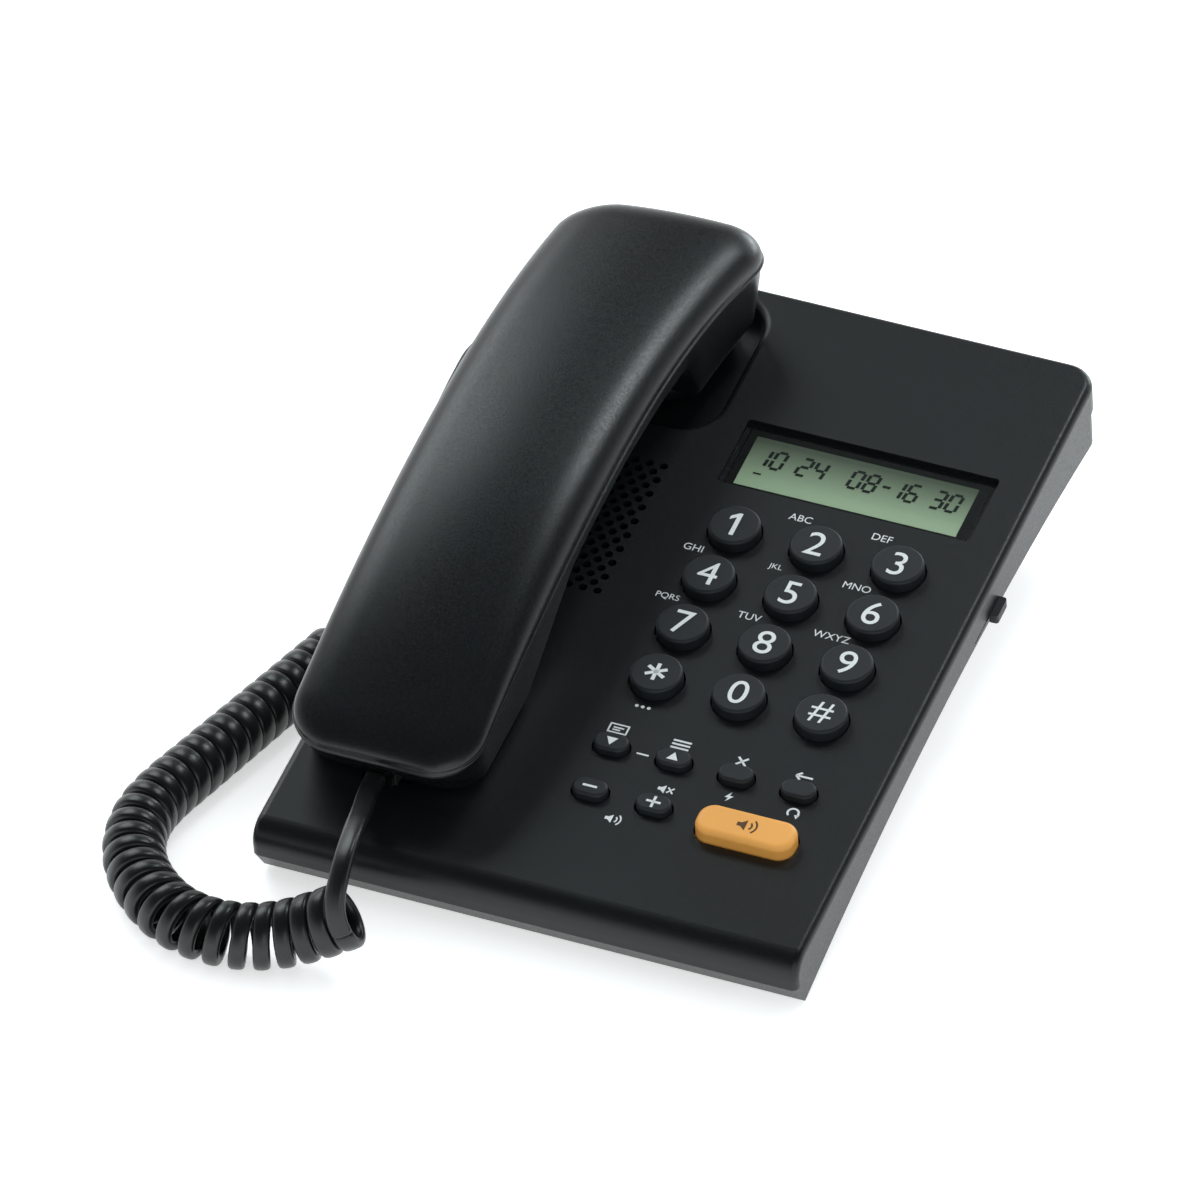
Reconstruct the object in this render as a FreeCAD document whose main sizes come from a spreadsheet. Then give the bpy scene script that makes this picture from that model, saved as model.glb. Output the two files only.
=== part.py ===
import FreeCAD, Part
import math
import os
import Sketcher
from types import SimpleNamespace

# Corded desk telephone: a sloping base with keys, display and loudspeaker, a handset that lies across
# its left side, and a curly cord between them.
# Frame: X to the right, Y to the back, Z up, origin under the middle of the phone on the table.
# Most pieces are drawn in the deck's own frame: x from the base's middle, y up the slope from the
# deck's front edge, z square to the deck's top face.

# Each size: name, millimetres (degrees for the slope), what it is
SIZES = (
    ("base_width", 145, "width of the base"),
    ("deck_length", 217, "length of the sloping deck"),
    ("tilt_angle", 9.3, "slope of the deck, degrees"),
    ("front_height", 18, "height of the deck's front edge above the table"),
    ("skirt", 9, "height of the upper cabinet's side walls"),
    ("wall", 2.6, "cabinet wall thickness"),
    ("deck_thick", 2.5, "thickness of the deck"),
    ("front_round", 6, "radius of the deck's front edge"),
    ("edge_round", 2, "radius of the deck's other edges"),
    ("back_corner", 8, "radius of the base's back corners in plan"),
    ("reveal", 0.5, "step from upper to lower cabinet"),
    ("front_lean", 5.5, "how far back the lower cabinet's front edge leans"),
    ("arch_front", 18, "depth of the lower cabinet at the front"),
    ("arch_crown", 11.4, "depth of the lower cabinet at the top of its arched sides"),
    ("arch_crown_y", 92, "place of that crown along the deck"),
    ("arch_back", 22, "depth of the lower cabinet at the back"),
    ("wing_floor", 1.2, "floor thickness beside the belly"),
    ("belly_depth", 24, "depth of the belly under the deck"),
    ("belly_wall", 2.2, "wall of the belly"),
    ("belly_front", 12, "front of the belly along the deck"),
    ("belly_back", 12, "gap from the belly to the back edge"),
    ("belly_left", 8, "belly inset on the left"),
    ("belly_right", 16, "belly inset on the right"),
    ("foot_height", 1.6, "height of the rubber feet"),
    ("foot_radius", 6, "radius of the rubber feet"),
    ("foot_side", 41, "feet from the middle"),
    ("front_foot_y", 29, "front feet along the deck"),
    ("stand_half", 50, "half width of the desk stand"),
    ("stand_front", 118, "front of the desk stand along the deck"),
    ("stand_back", 200, "back of the desk stand along the deck"),
    ("stand_wall", 2.5, "wall of the desk stand"),
    ("column_pitch", 22, "dial key columns"),
    ("row_pitch", 18, "dial key rows"),
    ("keypad_x", 27, "middle column"),
    ("bottom_row_y", 79.3, "lowest dial key row"),
    ("key_radius", 6.75, "dial key radius"),
    ("key_proud", 3.2, "dial key height above the deck"),
    ("key_edge", 0.8, "rounding of the key tops"),
    ("key_gap", 0.5, "gap round each key in the deck"),
    ("key_flange", 1, "flange that keeps a key under the deck"),
    ("flange_top", 3.1, "depth of the flange's top under the deck's face"),
    ("flange_thick", 1.2, "flange thickness"),
    ("oval_length", 9.2, "length of the small oval keys"),
    ("oval_height", 5.8, "height of the small oval keys"),
    ("oval_proud", 2.2, "small keys above the deck"),
    ("function_x", 2.6, "first function key"),
    ("function_pitch", 16.6, "function key spacing"),
    ("function_y", 54.6, "function key row"),
    ("volume_x", 3.2, "first volume key"),
    ("volume_pitch", 16.9, "volume key spacing"),
    ("volume_y", 38.7, "volume key row"),
    ("speaker_key_x", 45.4, "speakerphone key"),
    ("speaker_key_y", 37, "speakerphone key along the deck"),
    ("speaker_key_length", 26, "speakerphone key length"),
    ("speaker_key_height", 10, "speakerphone key height along the deck"),
    ("speaker_key_round", 4.2, "speakerphone key corner radius"),
    ("speaker_key_proud", 4, "speakerphone key above the deck"),
    ("mat_thick", 0.8, "rubber mat thickness"),
    ("dome_gap", 1.8, "from the mat's sheet to the keys"),
    ("touch_gap", 0.05, "gap where a still piece meets a moving one"),
    ("dome_radius", 4.6, "dial key dome radius"),
    ("small_dome_radius", 2.2, "small key dome radius"),
    ("board_thick", 1.6, "circuit board thickness"),
    ("board_left", -12, "board's left edge"),
    ("board_right", 57.5, "board's right edge"),
    ("board_front", 25, "board's front edge"),
    ("board_back", 180, "board's back edge"),
    ("arm_left", -57, "board arm's left end"),
    ("arm_front", 66, "board arm's front edge"),
    ("arm_back", 88, "board arm's back edge"),
    ("post_radius", 2.4, "posts that hold the board"),
    ("window_x", 28, "display window's middle"),
    ("window_y", 160.4, "display window's middle along the deck"),
    ("window_width", 68, "display window"),
    ("window_height", 23, "display window along the deck"),
    ("window_thick", 1.2, "display window thickness"),
    ("window_depth", 0.4, "display window's face below the deck's"),
    ("window_ledge", 1.2, "ledge under the display window"),
    ("window_corner", 1, "display window corner radius"),
    ("lcd_thick", 1.9, "display glass thickness"),
    ("lcd_gap", 0.4, "gap round the display glass"),
    ("holder_rim", 2, "display holder beyond the glass"),
    ("fit_gap", 0.15, "clearance of fixed pieces in their seats"),
    ("well_right", -14.2, "ear well's right edge"),
    ("well_left", -68.2, "ear well's left edge"),
    ("well_front", 163.5, "ear well's front edge along the deck"),
    ("well_back", 212.3, "ear well's back edge along the deck"),
    ("well_corner", 11, "ear well corner radius"),
    ("well_depth", 7, "ear well depth"),
    ("well_floor", 1.8, "floor under the wells"),
    ("well_rim", 2, "rounding of the ear well's rim"),
    ("mouth_radius", 18, "mouth recess radius"),
    ("mouth_depth", 3, "mouth recess depth"),
    ("grille_x", -20.5, "right end of the grille's rows"),
    ("grille_y", 103.5, "lowest grille row"),
    ("grille_column", 3.9, "grille hole spacing in a row"),
    ("grille_row", 5.1, "grille row spacing"),
    ("grille_hole", 1.1, "grille hole radius"),
    ("boss_radius", 3.4, "screw bosses under the deck"),
    ("boss_end", 10, "where the bosses of the two cabinets meet"),
    ("lower_boss", 5, "screw bosses of the lower cabinet"),
    ("screw_radius", 1.4, "screw shank radius"),
    ("screw_head", 2.7, "screw head radius"),
    ("head_thick", 2, "screw head thickness"),
    ("screw_web", 2.4, "boss bottom that the screw head holds"),
    ("screw_reach", 6, "screw length in the upper boss"),
    ("screw_gap", 0.06, "clearance round a screw"),
    ("hook_y", 74, "hook plunger along the deck"),
    ("hook_width", 9, "hook plunger width"),
    ("hook_depth", 5, "hook plunger along the deck"),
    ("hook_rise", 3, "hook plunger travel"),
    ("hook_foot", 4, "side of the hook plunger's foot"),
    ("hook_rest", 0.4, "gap from the hook plunger to the handset"),
    ("hook_hang", 0.6, "hook plunger's foot above the board's underside"),
    ("board_hole", 6, "hole in the board for the hook plunger's foot"),
    ("switch_side", 14, "hook switch"),
    ("switch_deep", 6, "hook switch depth"),
    ("button_rise", 0.3, "hook switch button"),
    ("frame_rim", 2, "rim of the loudspeaker's frame"),
    ("frame_deep", 14, "depth of the loudspeaker's frame with its magnet"),
    ("magnet_deep", 9, "depth of the magnet's face in the loudspeaker"),
    ("basket_deep", 8, "depth of the loudspeaker's basket"),
    ("basket_inset", 6, "how far the basket narrows"),
    ("cone_deep", 7, "depth of the loudspeaker's cone"),
    ("cone_inset", 11, "how far the cone narrows"),
    ("cone_thick", 0.7, "cone thickness"),
    ("cone_gap", 0.3, "cone below the deck"),
    ("cone_edge", 2.7, "cone inside the frame's outer edge"),
    ("cone_radius", 20, "loudspeaker radius"),
    ("cone_x", -40.5, "loudspeaker's middle"),
    ("cone_y", 127, "loudspeaker's middle along the deck"),
    ("slider_y", 138.5, "ringer knob along the deck"),
    ("slider_z", -10.6, "ringer knob's middle under the deck"),
    ("tongue_z", -9.9, "middle of the ringer knob's tongue under the deck"),
    ("slider_length", 7, "ringer knob along the deck"),
    ("slider_thick", 2.6, "ringer knob thickness"),
    ("slider_out", 2.1, "ringer knob beyond the side wall"),
    ("slider_travel", 10, "ringer knob travel"),
    ("slider_gap", 0.4, "clearance of the ringer knob"),
    ("tongue_length", 5, "ringer knob's tongue along the deck"),
    ("tongue_thick", 1, "ringer knob's tongue thickness"),
    ("socket_wall", 0.6, "jack housing wall"),
    ("line_jack_x", 30, "line jack's middle"),
    ("line_width", 9.8, "line jack opening"),
    ("line_height", 6.8, "line jack opening height"),
    ("line_depth", 11, "line jack depth"),
    ("line_z", -13.9, "line jack's middle under the deck"),
    ("plug_width", 7.6, "handset cord plug width"),
    ("plug_height", 5.8, "handset cord plug height"),
    ("plug_length", 15, "handset cord plug length"),
    ("plug_seat", 13, "length of a plug inside its jack"),
    ("plug_gap", 0.1, "clearance of a plug in its jack"),
    ("side_jack_y", 192, "handset jack along the deck"),
    ("handset_x", -46.2, "handset's middle"),
    ("handset_width", 51.5, "handset width"),
    ("handset_front", 19, "handset's front end along the deck"),
    ("handset_back", 213.5, "handset's back end along the deck"),
    ("handset_apex", 115, "highest point of the handset's arch along the deck"),
    ("top_front", 17.6, "handset top at the front end"),
    ("top_apex", 34.9, "handset top at its highest"),
    ("top_back", 27.6, "handset top at the back end"),
    ("lid_front", 5.2, "handset's upper shell at the front end"),
    ("lid_side", 9.4, "handset's upper shell at its highest"),
    ("handset_corner", 13, "handset's corner radius in plan"),
    ("handset_round", 2.8, "rounding of the handset's top edge"),
    ("crown_drop", 2.2, "fall of the handset's crowned top from its middle to the rounding"),
    ("handset_boss", 22.5, "where the bosses of the handset's shells meet"),
    ("ear_inset", 5.2, "ear cap inside the handset's side"),
    ("shell_wall", 2.4, "handset wall"),
    ("mouth_gap", 0.4, "gap under the handset's mouth end"),
    ("mouth_front", 26, "front of the mouth end's flat face"),
    ("mouth_back", 62, "back of the mouth end's flat face"),
    ("grip_front", 94, "front of the hollow under the grip"),
    ("grip_back", 169, "back of the hollow under the grip"),
    ("grip_low", 14.5, "grip's underside above the deck at its ends"),
    ("grip_mid", 17, "grip's underside above the deck in the middle"),
    ("ear_front", 174, "front of the ear end's flat face"),
    ("ear_back", 208, "back of the ear end's flat face"),
    ("ear_depth", 5.5, "ear end below the deck's face"),
    ("cap_radius", 16, "mouth cap that sits in the mouth recess"),
    ("cap_depth", 2.4, "mouth cap below the deck's face"),
    ("mouth_y", 44, "mouth cap's middle along the deck"),
    ("ear_y", 191, "ear holes' middle along the deck"),
    ("sound_hole", 1, "sound hole radius"),
    ("sound_pitch", 5, "sound hole circle"),
    ("receiver_radius", 14.2, "receiver capsule radius"),
    ("receiver_thick", 8, "receiver capsule thickness"),
    ("mic_radius", 4.8, "microphone capsule radius"),
    ("mic_thick", 5, "microphone capsule thickness"),
    ("weight_length", 42, "ballast bar"),
    ("weight_width", 20, "ballast bar width"),
    ("weight_thick", 5, "ballast bar thickness"),
    ("handset_jack_z", 7, "cord jack's middle in the handset"),
    ("cord_radius", 1.75, "cord wire radius"),
    ("coil_front", 7.2, "radius of the first curl at the wire's middle"),
    ("coil_back", 5.7, "radius of the last curl at the wire's middle"),
    ("curl_pitch", 5.6, "curl spacing"),
)

DIAL_KEYS = (
    ("key_1", 0, 3), ("key_2", 1, 3), ("key_3", 2, 3),
    ("key_4", 0, 2), ("key_5", 1, 2), ("key_6", 2, 2),
    ("key_7", 0, 1), ("key_8", 1, 1), ("key_9", 2, 1),
    ("key_star", 0, 0), ("key_0", 1, 0), ("key_hash", 2, 0),
)
FUNCTION_KEYS = ("scroll_down_key", "scroll_up_key", "flash_key", "redial_key")
VOLUME_KEYS = ("volume_down_key", "volume_up_key")
GRILLE_COLUMNS = 10
GRILLE_ROWS = 10
# Screw bosses, deck x and y, front pair first
BOSSES = ((-57, 22), (49, 17), (-56, 153), (47, 190))
HALF = math.sqrt(0.5)
EDGE_TOLERANCE = 1e-4

doc = FreeCAD.newDocument("DeskPhone")
SUB_PARTS = []


class Size:
    """A length that carries both its number and the sheet expression that gives it."""

    def __init__(self, text, value):
        self.text = text
        self.value = float(value)

    def joined(self, sign, other, value):
        return Size(f"({self.text} {sign} {other.text})", value)

    def __add__(self, other):
        other = as_size(other)
        return self.joined("+", other, self.value + other.value)

    def __sub__(self, other):
        other = as_size(other)
        return self.joined("-", other, self.value - other.value)

    def __mul__(self, other):
        other = as_size(other)
        return self.joined("*", other, self.value * other.value)

    def __truediv__(self, other):
        other = as_size(other)
        return self.joined("/", other, self.value / other.value)

    def __neg__(self):
        return Size(f"(0 - {self.text})", -self.value)

    def __radd__(self, other):
        return as_size(other) + self

    def __rsub__(self, other):
        return as_size(other) - self

    def __rmul__(self, other):
        return as_size(other) * self


def as_size(number):
    """Wraps a plain number, so that it can stand in an expression."""
    if isinstance(number, Size):
        return number
    return Size(f"({number:.6f})", number)


def make_sheet():
    """Writes the driving dimensions into the document's sheet and returns them by name."""
    sheet = doc.addObject("Spreadsheet::Sheet", "Sheet")
    for row, (name, value, note) in enumerate(SIZES, 1):
        sheet.set(f"A{row}", note)
        sheet.set(f"B{row}", str(value))
        sheet.setAlias(f"B{row}", name)
    doc.recompute()
    return SimpleNamespace(**{name: Size(f"Sheet.{name}", getattr(sheet, name)) for name, _, _ in SIZES})


D = make_sheet()
SLOPE_SIN = Size(f"sin({D.tilt_angle.text})", math.sin(math.radians(D.tilt_angle.value)))
SLOPE_COS = Size(f"cos({D.tilt_angle.text})", math.cos(math.radians(D.tilt_angle.value)))
HALF_WIDTH = D.base_width / 2
# The handset jack hangs just under the upper cabinet's skirt
SIDE_JACK_Z = -(D.skirt + D.plug_height / 2 + 2 * D.plug_gap + D.socket_wall)
# The origin stands under the middle of the phone: half the knob's reach to the side, and half way from
# the rounded front edge to the lower cabinet's back edge.
SIDE_SHIFT = -D.slider_out / 2
FRONT_REACH = D.front_round * (SLOPE_COS + SLOPE_SIN - 1)
BACK_REACH = (D.deck_length - D.reveal) * SLOPE_COS + D.arch_back * SLOPE_SIN
BACK_SHIFT = -(FRONT_REACH + BACK_REACH) / 2


def bind(thing, name, size):
    """Ties a property to the sheet."""
    thing.setExpression(name, as_size(size).text)


def on_deck(x, y, z):
    """World place, as three sizes, of a point in the deck's frame."""
    x, y, z = as_size(x), as_size(y), as_size(z)
    world_y = y * SLOPE_COS - z * SLOPE_SIN + BACK_SHIFT
    world_z = D.front_height + y * SLOPE_SIN + z * SLOPE_COS
    return x + SIDE_SHIFT, world_y, world_z


def deck_point(x, y, z):
    """The same as a vector."""
    return FreeCAD.Vector(*(size.value for size in on_deck(x, y, z)))


def place(thing, x=0, y=0, z=0):
    """Lays a piece on the slope with its own origin at a point of the deck's frame."""
    spot = on_deck(x, y, z)
    turn = FreeCAD.Rotation(FreeCAD.Vector(1, 0, 0), D.tilt_angle.value)
    thing.Placement = FreeCAD.Placement(FreeCAD.Vector(*(size.value for size in spot)), turn)
    for axis, size in zip("xyz", spot):
        bind(thing, f"Placement.Base.{axis}", size)
    bind(thing, "Placement.Rotation.Angle", D.tilt_angle)


def new_body(label, x=0, y=0, z=0):
    """An empty body on the deck's slope."""
    body = doc.addObject("PartDesign::Body", label)
    body.Label = label
    place(body, x, y, z)
    return body


def keep(thing, label):
    """Marks an object as one sub-part of the phone."""
    thing.Label = label
    SUB_PARTS.append(thing)
    return thing


def new_sketch(body, role, level=0):
    """A sketch on one of the body's own planes, moved along the plane's normal by a level."""
    sketch = body.newObject("Sketcher::SketchObject", f"{body.Name}_sketch")
    plane = next(f for f in body.Origin.OriginFeatures if f.Role == role)
    sketch.AttachmentSupport = [(plane, "")]
    sketch.MapMode = "FlatFace"
    bind(sketch, "AttachmentOffset.Base.z", level)
    return sketch


def pin(sketch, geometry, point, x, y):
    """Fixes a sketch point at two sizes from the origin."""
    for kind, size in (("DistanceX", as_size(x)), ("DistanceY", as_size(y))):
        rule = sketch.addConstraint(Sketcher.Constraint(kind, -1, 1, geometry, point, size.value))
        sketch.setExpression(f"Constraints[{rule}]", size.text)


def flat(x, y):
    return FreeCAD.Vector(as_size(x).value, as_size(y).value, 0)


def outline(sketch, start, *steps):
    """A closed outline. A step of two sizes is a straight line to that point, one of four is an arc
    through its first point to its second, and a last step named close is an arc back to the start."""
    corners = [start]
    for step in steps:
        corners.append(start if step[0] == "close" else step[-2:])
    if steps[-1][0] != "close":
        steps = steps + (start,)
        corners.append(start)
    ends = []
    for begin, step, end in zip(corners, steps, corners[1:]):
        if len(step) == 2:
            geometry = sketch.addGeometry(Part.LineSegment(flat(*begin), flat(*end)))
            ends.append((geometry, 1, 2))
            continue
        middle = step[1:3] if step[0] == "close" else step[:2]
        geometry = sketch.addGeometry(Part.Arc(flat(*begin), flat(*middle), flat(*end)))
        forward = sketch.getPoint(geometry, 1).distanceToPoint(flat(*begin)) < EDGE_TOLERANCE
        ends.append((geometry, 1, 2) if forward else (geometry, 2, 1))
        mark = sketch.addGeometry(Part.Point(flat(*middle)), True)
        pin(sketch, mark, 1, *middle)
        sketch.addConstraint(Sketcher.Constraint("PointOnObject", mark, 1, geometry))
    for index, (geometry, first, _) in enumerate(ends):
        before, _, last = ends[index - 1]
        sketch.addConstraint(Sketcher.Constraint("Coincident", before, last, geometry, first))
        pin(sketch, geometry, first, *corners[index])


def circle(sketch, x, y, radius):
    """A circle with its middle and radius tied to the sheet."""
    radius = as_size(radius)
    ring = Part.Circle(flat(x, y), FreeCAD.Vector(0, 0, 1), radius.value)
    geometry = sketch.addGeometry(ring)
    pin(sketch, geometry, 3, x, y)
    rule = sketch.addConstraint(Sketcher.Constraint("Radius", geometry, radius.value))
    sketch.setExpression(f"Constraints[{rule}]", radius.text)


def box_outline(sketch, left, right, low, high):
    outline(sketch, (left, low), (right, low), (right, high), (left, high))


def round_box(sketch, left, right, low, high, radius):
    """A rectangle with four round corners."""
    left, right, low, high = (as_size(v) for v in (left, right, low, high))
    cut = radius * (1 - HALF)
    outline(
        sketch,
        (left + radius, low), (right - radius, low),
        (right - cut, low + cut, right, low + radius), (right, high - radius),
        (right - cut, high - cut, right - radius, high), (left + radius, high),
        (left + cut, high - cut, left, high - radius), (left, low + radius),
        ("close", left + cut, low + cut),
    )


def stadium(sketch, x, y, length, height):
    """A slot shape with half circle ends, lying along x."""
    x, y = as_size(x), as_size(y)
    radius = height / 2
    reach = length / 2 - radius
    outline(
        sketch,
        (x - reach, y - radius), (x + reach, y - radius),
        (x + reach + radius, y, x + reach, y + radius), (x - reach, y + radius),
        ("close", x - reach - radius, y),
    )


def add_feature(body, kind, sketch, length, side, reverse):
    """One pad or pocket, whose volume must change the body the right way."""
    before = body.Shape.Volume if body.Tip and body.Tip.isDerivedFrom("PartDesign::Feature") else 0
    feature = body.newObject(f"PartDesign::{kind}", f"{body.Name}_{kind.lower()}")
    feature.Profile = sketch
    bind(feature, "Length", length)
    feature.SideType = side
    feature.Reversed = reverse
    body.Tip = feature
    doc.recompute()
    change = body.Shape.Volume - before
    if (kind == "Pad") != (change > 0) or abs(change) < EDGE_TOLERANCE:
        raise RuntimeError(f"{body.Label}: a {kind} changed the volume by {change:.3f}")
    return feature


def pad(body, sketch, length, reverse=False):
    return add_feature(body, "Pad", sketch, length, "One side", reverse)


def pad_across(body, sketch, width):
    return add_feature(body, "Pad", sketch, width, "Symmetric", False)


def pocket(body, sketch, length, reverse=False):
    return add_feature(body, "Pocket", sketch, length, "One side", reverse)


def pocket_across(body, sketch, width):
    return add_feature(body, "Pocket", sketch, width, "Symmetric", False)


def fillet(body, radius, wanted):
    """Rounds the edges of the body that a test picks."""
    base = body.Tip
    edges = [f"Edge{n}" for n, edge in enumerate(base.Shape.Edges, 1) if wanted(edge)]
    feature = body.newObject("PartDesign::Fillet", f"{body.Name}_fillet")
    feature.Base = (base, edges)
    bind(feature, "Radius", radius)
    body.Tip = feature
    doc.recompute()
    if not edges or not feature.isValid():
        raise RuntimeError(f"{body.Label}: a rounding of {len(edges)} edges failed")
    return feature


def near(value, size):
    return abs(value - as_size(size).value) < EDGE_TOLERANCE


def upright_at(edge, y):
    """Whether an edge runs square to the deck at one place along it."""
    box = edge.BoundBox
    return near(box.YMin, y) and near(box.YMax, y) and near(box.XLength, 0) and box.ZLength > 1


def level_at(edge, z):
    """Whether an edge lies in the plane at one level of the deck's frame."""
    box = edge.BoundBox
    return near(box.ZMin, z) and near(box.ZMax, z)


def cylinder(name, radius, height, x, y, z):
    """A plain round bar square to the deck, its lower end at z."""
    bar = doc.addObject("Part::Cylinder", name)
    bind(bar, "Radius", radius)
    bind(bar, "Height", height)
    place(bar, x, y, z)
    return bar


def block(label, left, right, front, back, low, high):
    """A body that is one rectangular block in the deck's frame."""
    body = new_body(label)
    sketch = new_sketch(body, "XY_Plane", low)
    box_outline(sketch, left, right, front, back)
    pad(body, sketch, as_size(high) - low)
    return body


def key_place(column, row):
    """Deck place of a dial key."""
    return D.keypad_x + (column - 1) * D.column_pitch, D.bottom_row_y + row * D.row_pitch


def oval_places():
    """Name and deck place of each small oval key."""
    for index, name in enumerate(FUNCTION_KEYS):
        yield name, D.function_x + index * D.function_pitch, D.function_y
    for index, name in enumerate(VOLUME_KEYS):
        yield name, D.volume_x + index * D.volume_pitch, D.volume_y


# Levels inside the base, from the deck down
FLANGE_LOW = -(D.flange_top + D.flange_thick)
MAT_TOP = FLANGE_LOW - D.dome_gap
BOARD_TOP = MAT_TOP - D.mat_thick
BOARD_LOW = BOARD_TOP - D.board_thick
WINDOW_LOW = -(D.window_depth + D.window_thick)
LCD_TOP = WINDOW_LOW - D.fit_gap
LCD_LOW = LCD_TOP - D.lcd_thick
LCD_WIDTH = D.window_width - 2 * (D.window_ledge + D.lcd_gap)
LCD_HEIGHT = D.window_height - 2 * (D.window_ledge + D.lcd_gap)
# Hook plunger: its flange stops under the deck when it has risen
HOOK_FLANGE_TOP = -(D.deck_thick + D.hook_rise + D.fit_gap)
HOOK_FLANGE_LOW = HOOK_FLANGE_TOP - D.flange_thick
HOOK_FOOT_LOW = BOARD_LOW + D.hook_hang
# The handset's sloping underside holds the plunger down by its front edge
HOOK_SHARE = (D.hook_y - D.hook_depth / 2 - D.mouth_back) / (D.grip_front - D.mouth_back)
HOOK_TOP = D.mouth_gap + HOOK_SHARE * (D.grip_low - D.mouth_gap) - D.hook_rest


def under_table_gap(y):
    """Deck level that lies a foot's height above the table at a place along the deck."""
    return (D.foot_height - D.front_height - as_size(y) * SLOPE_SIN) / SLOPE_COS


def make_upper_cabinet():
    """Deck and skirt in one moulding, with wells, key holes, display opening, grille and bosses."""
    body = new_body("upper_cabinet")
    side = new_sketch(body, "YZ_Plane")
    cut = D.front_round * (1 - HALF)
    outline(
        side,
        (0, -D.skirt), (0, -D.front_round), (cut, -cut, D.front_round, 0),
        (D.deck_length, 0), (D.deck_length, -D.skirt),
    )
    pad_across(body, side, D.base_width)
    fillet(body, D.back_corner, lambda edge: upright_at(edge, D.deck_length))

    def on_rim(edge):
        box = edge.BoundBox
        if level_at(edge, -D.skirt):
            return False
        on_side = near(box.XMin, box.XMax) and near(abs(box.XMin), HALF_WIDTH)
        return (on_side and box.YMin < (D.deck_length - D.back_corner).value - EDGE_TOLERANCE
                or level_at(edge, 0) and box.YMax > (D.deck_length - D.back_corner).value + EDGE_TOLERANCE)

    fillet(body, D.edge_round, on_rim)
    inside = new_sketch(body, "XY_Plane", -D.skirt)
    round_box(inside, D.wall - HALF_WIDTH, HALF_WIDTH - D.wall, D.wall, D.deck_length - D.wall,
              D.back_corner - D.wall)
    pocket(body, inside, D.skirt - D.deck_thick, reverse=True)

    def hang(draw, low):
        """Adds something under the deck, down to a level."""
        sketch = new_sketch(body, "XY_Plane", -D.deck_thick)
        draw(sketch)
        pad(body, sketch, -D.deck_thick - low, reverse=True)

    def sink(draw, depth):
        """Cuts something down from the deck's face."""
        sketch = new_sketch(body, "XY_Plane")
        draw(sketch)
        return sketch, pocket(body, sketch, depth)

    floor = D.well_floor
    hang(lambda s: round_box(s, D.well_left - floor, D.well_right + floor, D.well_front - floor,
                             D.well_back + floor, D.well_corner + floor), -D.well_depth - floor)
    hang(lambda s: circle(s, D.handset_x, D.mouth_y, D.mouth_radius + floor), -D.mouth_depth - floor)

    def draw_bosses(sketch):
        for x, y in BOSSES:
            circle(sketch, x, y, D.boss_radius)

    def draw_posts(sketch):
        edge = D.post_radius + 0.6
        for x in (D.board_left + edge, D.board_right - edge):
            for y in (D.board_front + edge, D.board_back - edge):
                circle(sketch, x, y, D.post_radius)

    hang(draw_bosses, -D.boss_end)
    hang(draw_posts, BOARD_TOP)
    sink(lambda s: round_box(s, D.well_left, D.well_right, D.well_front, D.well_back, D.well_corner),
         D.well_depth)
    fillet(body, D.well_rim, lambda edge: level_at(edge, 0) and D.well_front.value - 1 < edge.BoundBox.YMin
           and edge.BoundBox.XMax < D.well_right.value + 1 and edge.BoundBox.XMin > D.well_left.value - 1
           and edge.BoundBox.YMax < D.well_back.value + 1)
    sink(lambda s: circle(s, D.handset_x, D.mouth_y, D.mouth_radius), D.mouth_depth)
    left = D.window_x - D.window_width / 2
    low = D.window_y - D.window_height / 2
    ledge = D.window_ledge
    through = D.deck_thick + D.fit_gap
    sink(lambda s: round_box(s, left, left + D.window_width, low, low + D.window_height, D.window_corner),
         -WINDOW_LOW)
    sink(lambda s: box_outline(s, left + ledge, left + D.window_width - ledge, low + ledge,
                               low + D.window_height - ledge), through)

    def draw_key_holes(sketch):
        for _, column, row in DIAL_KEYS:
            circle(sketch, *key_place(column, row), D.key_radius + D.key_gap)
        for _, x, y in oval_places():
            stadium(sketch, x, y, D.oval_length + 2 * D.key_gap, D.oval_height + 2 * D.key_gap)
        half_length = D.speaker_key_length / 2 + D.key_gap
        half_height = D.speaker_key_height / 2 + D.key_gap
        round_box(sketch, D.speaker_key_x - half_length, D.speaker_key_x + half_length,
                  D.speaker_key_y - half_height, D.speaker_key_y + half_height,
                  D.speaker_key_round + D.key_gap)

    sink(draw_key_holes, through)
    half_slot = D.hook_width / 2 + D.key_gap
    sink(lambda s: box_outline(s, D.handset_x - half_slot, D.handset_x + half_slot,
                               D.hook_y - D.hook_depth / 2 - D.key_gap,
                               D.hook_y + D.hook_depth / 2 + D.key_gap), through)

    def grille(shift, rows):
        """Rows of holes, the second set staggered between the first."""
        def draw(sketch):
            for column in range(GRILLE_COLUMNS):
                circle(sketch, D.grille_x - (column + shift) * D.grille_column,
                       D.grille_y + shift * D.grille_row, D.grille_hole)

        sketch, holes = sink(draw, through)
        pattern = body.newObject("PartDesign::LinearPattern", "grille_rows")
        pattern.Originals = [holes]
        pattern.Direction = (sketch, ["V_Axis"])
        bind(pattern, "Length", (rows - 1) * D.grille_row)
        pattern.Occurrences = rows
        body.Tip = pattern
        doc.recompute()

    grille(0, GRILLE_ROWS)
    grille(0.5, GRILLE_ROWS - 1)
    # Pilot holes for the cabinet screws
    pilots = new_sketch(body, "XY_Plane", -D.boss_end)
    for x, y in BOSSES:
        circle(pilots, x, y, D.screw_radius + D.screw_gap)
    pocket(body, pilots, D.screw_reach + D.fit_gap, reverse=True)
    keep(body, "upper_cabinet")


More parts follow.
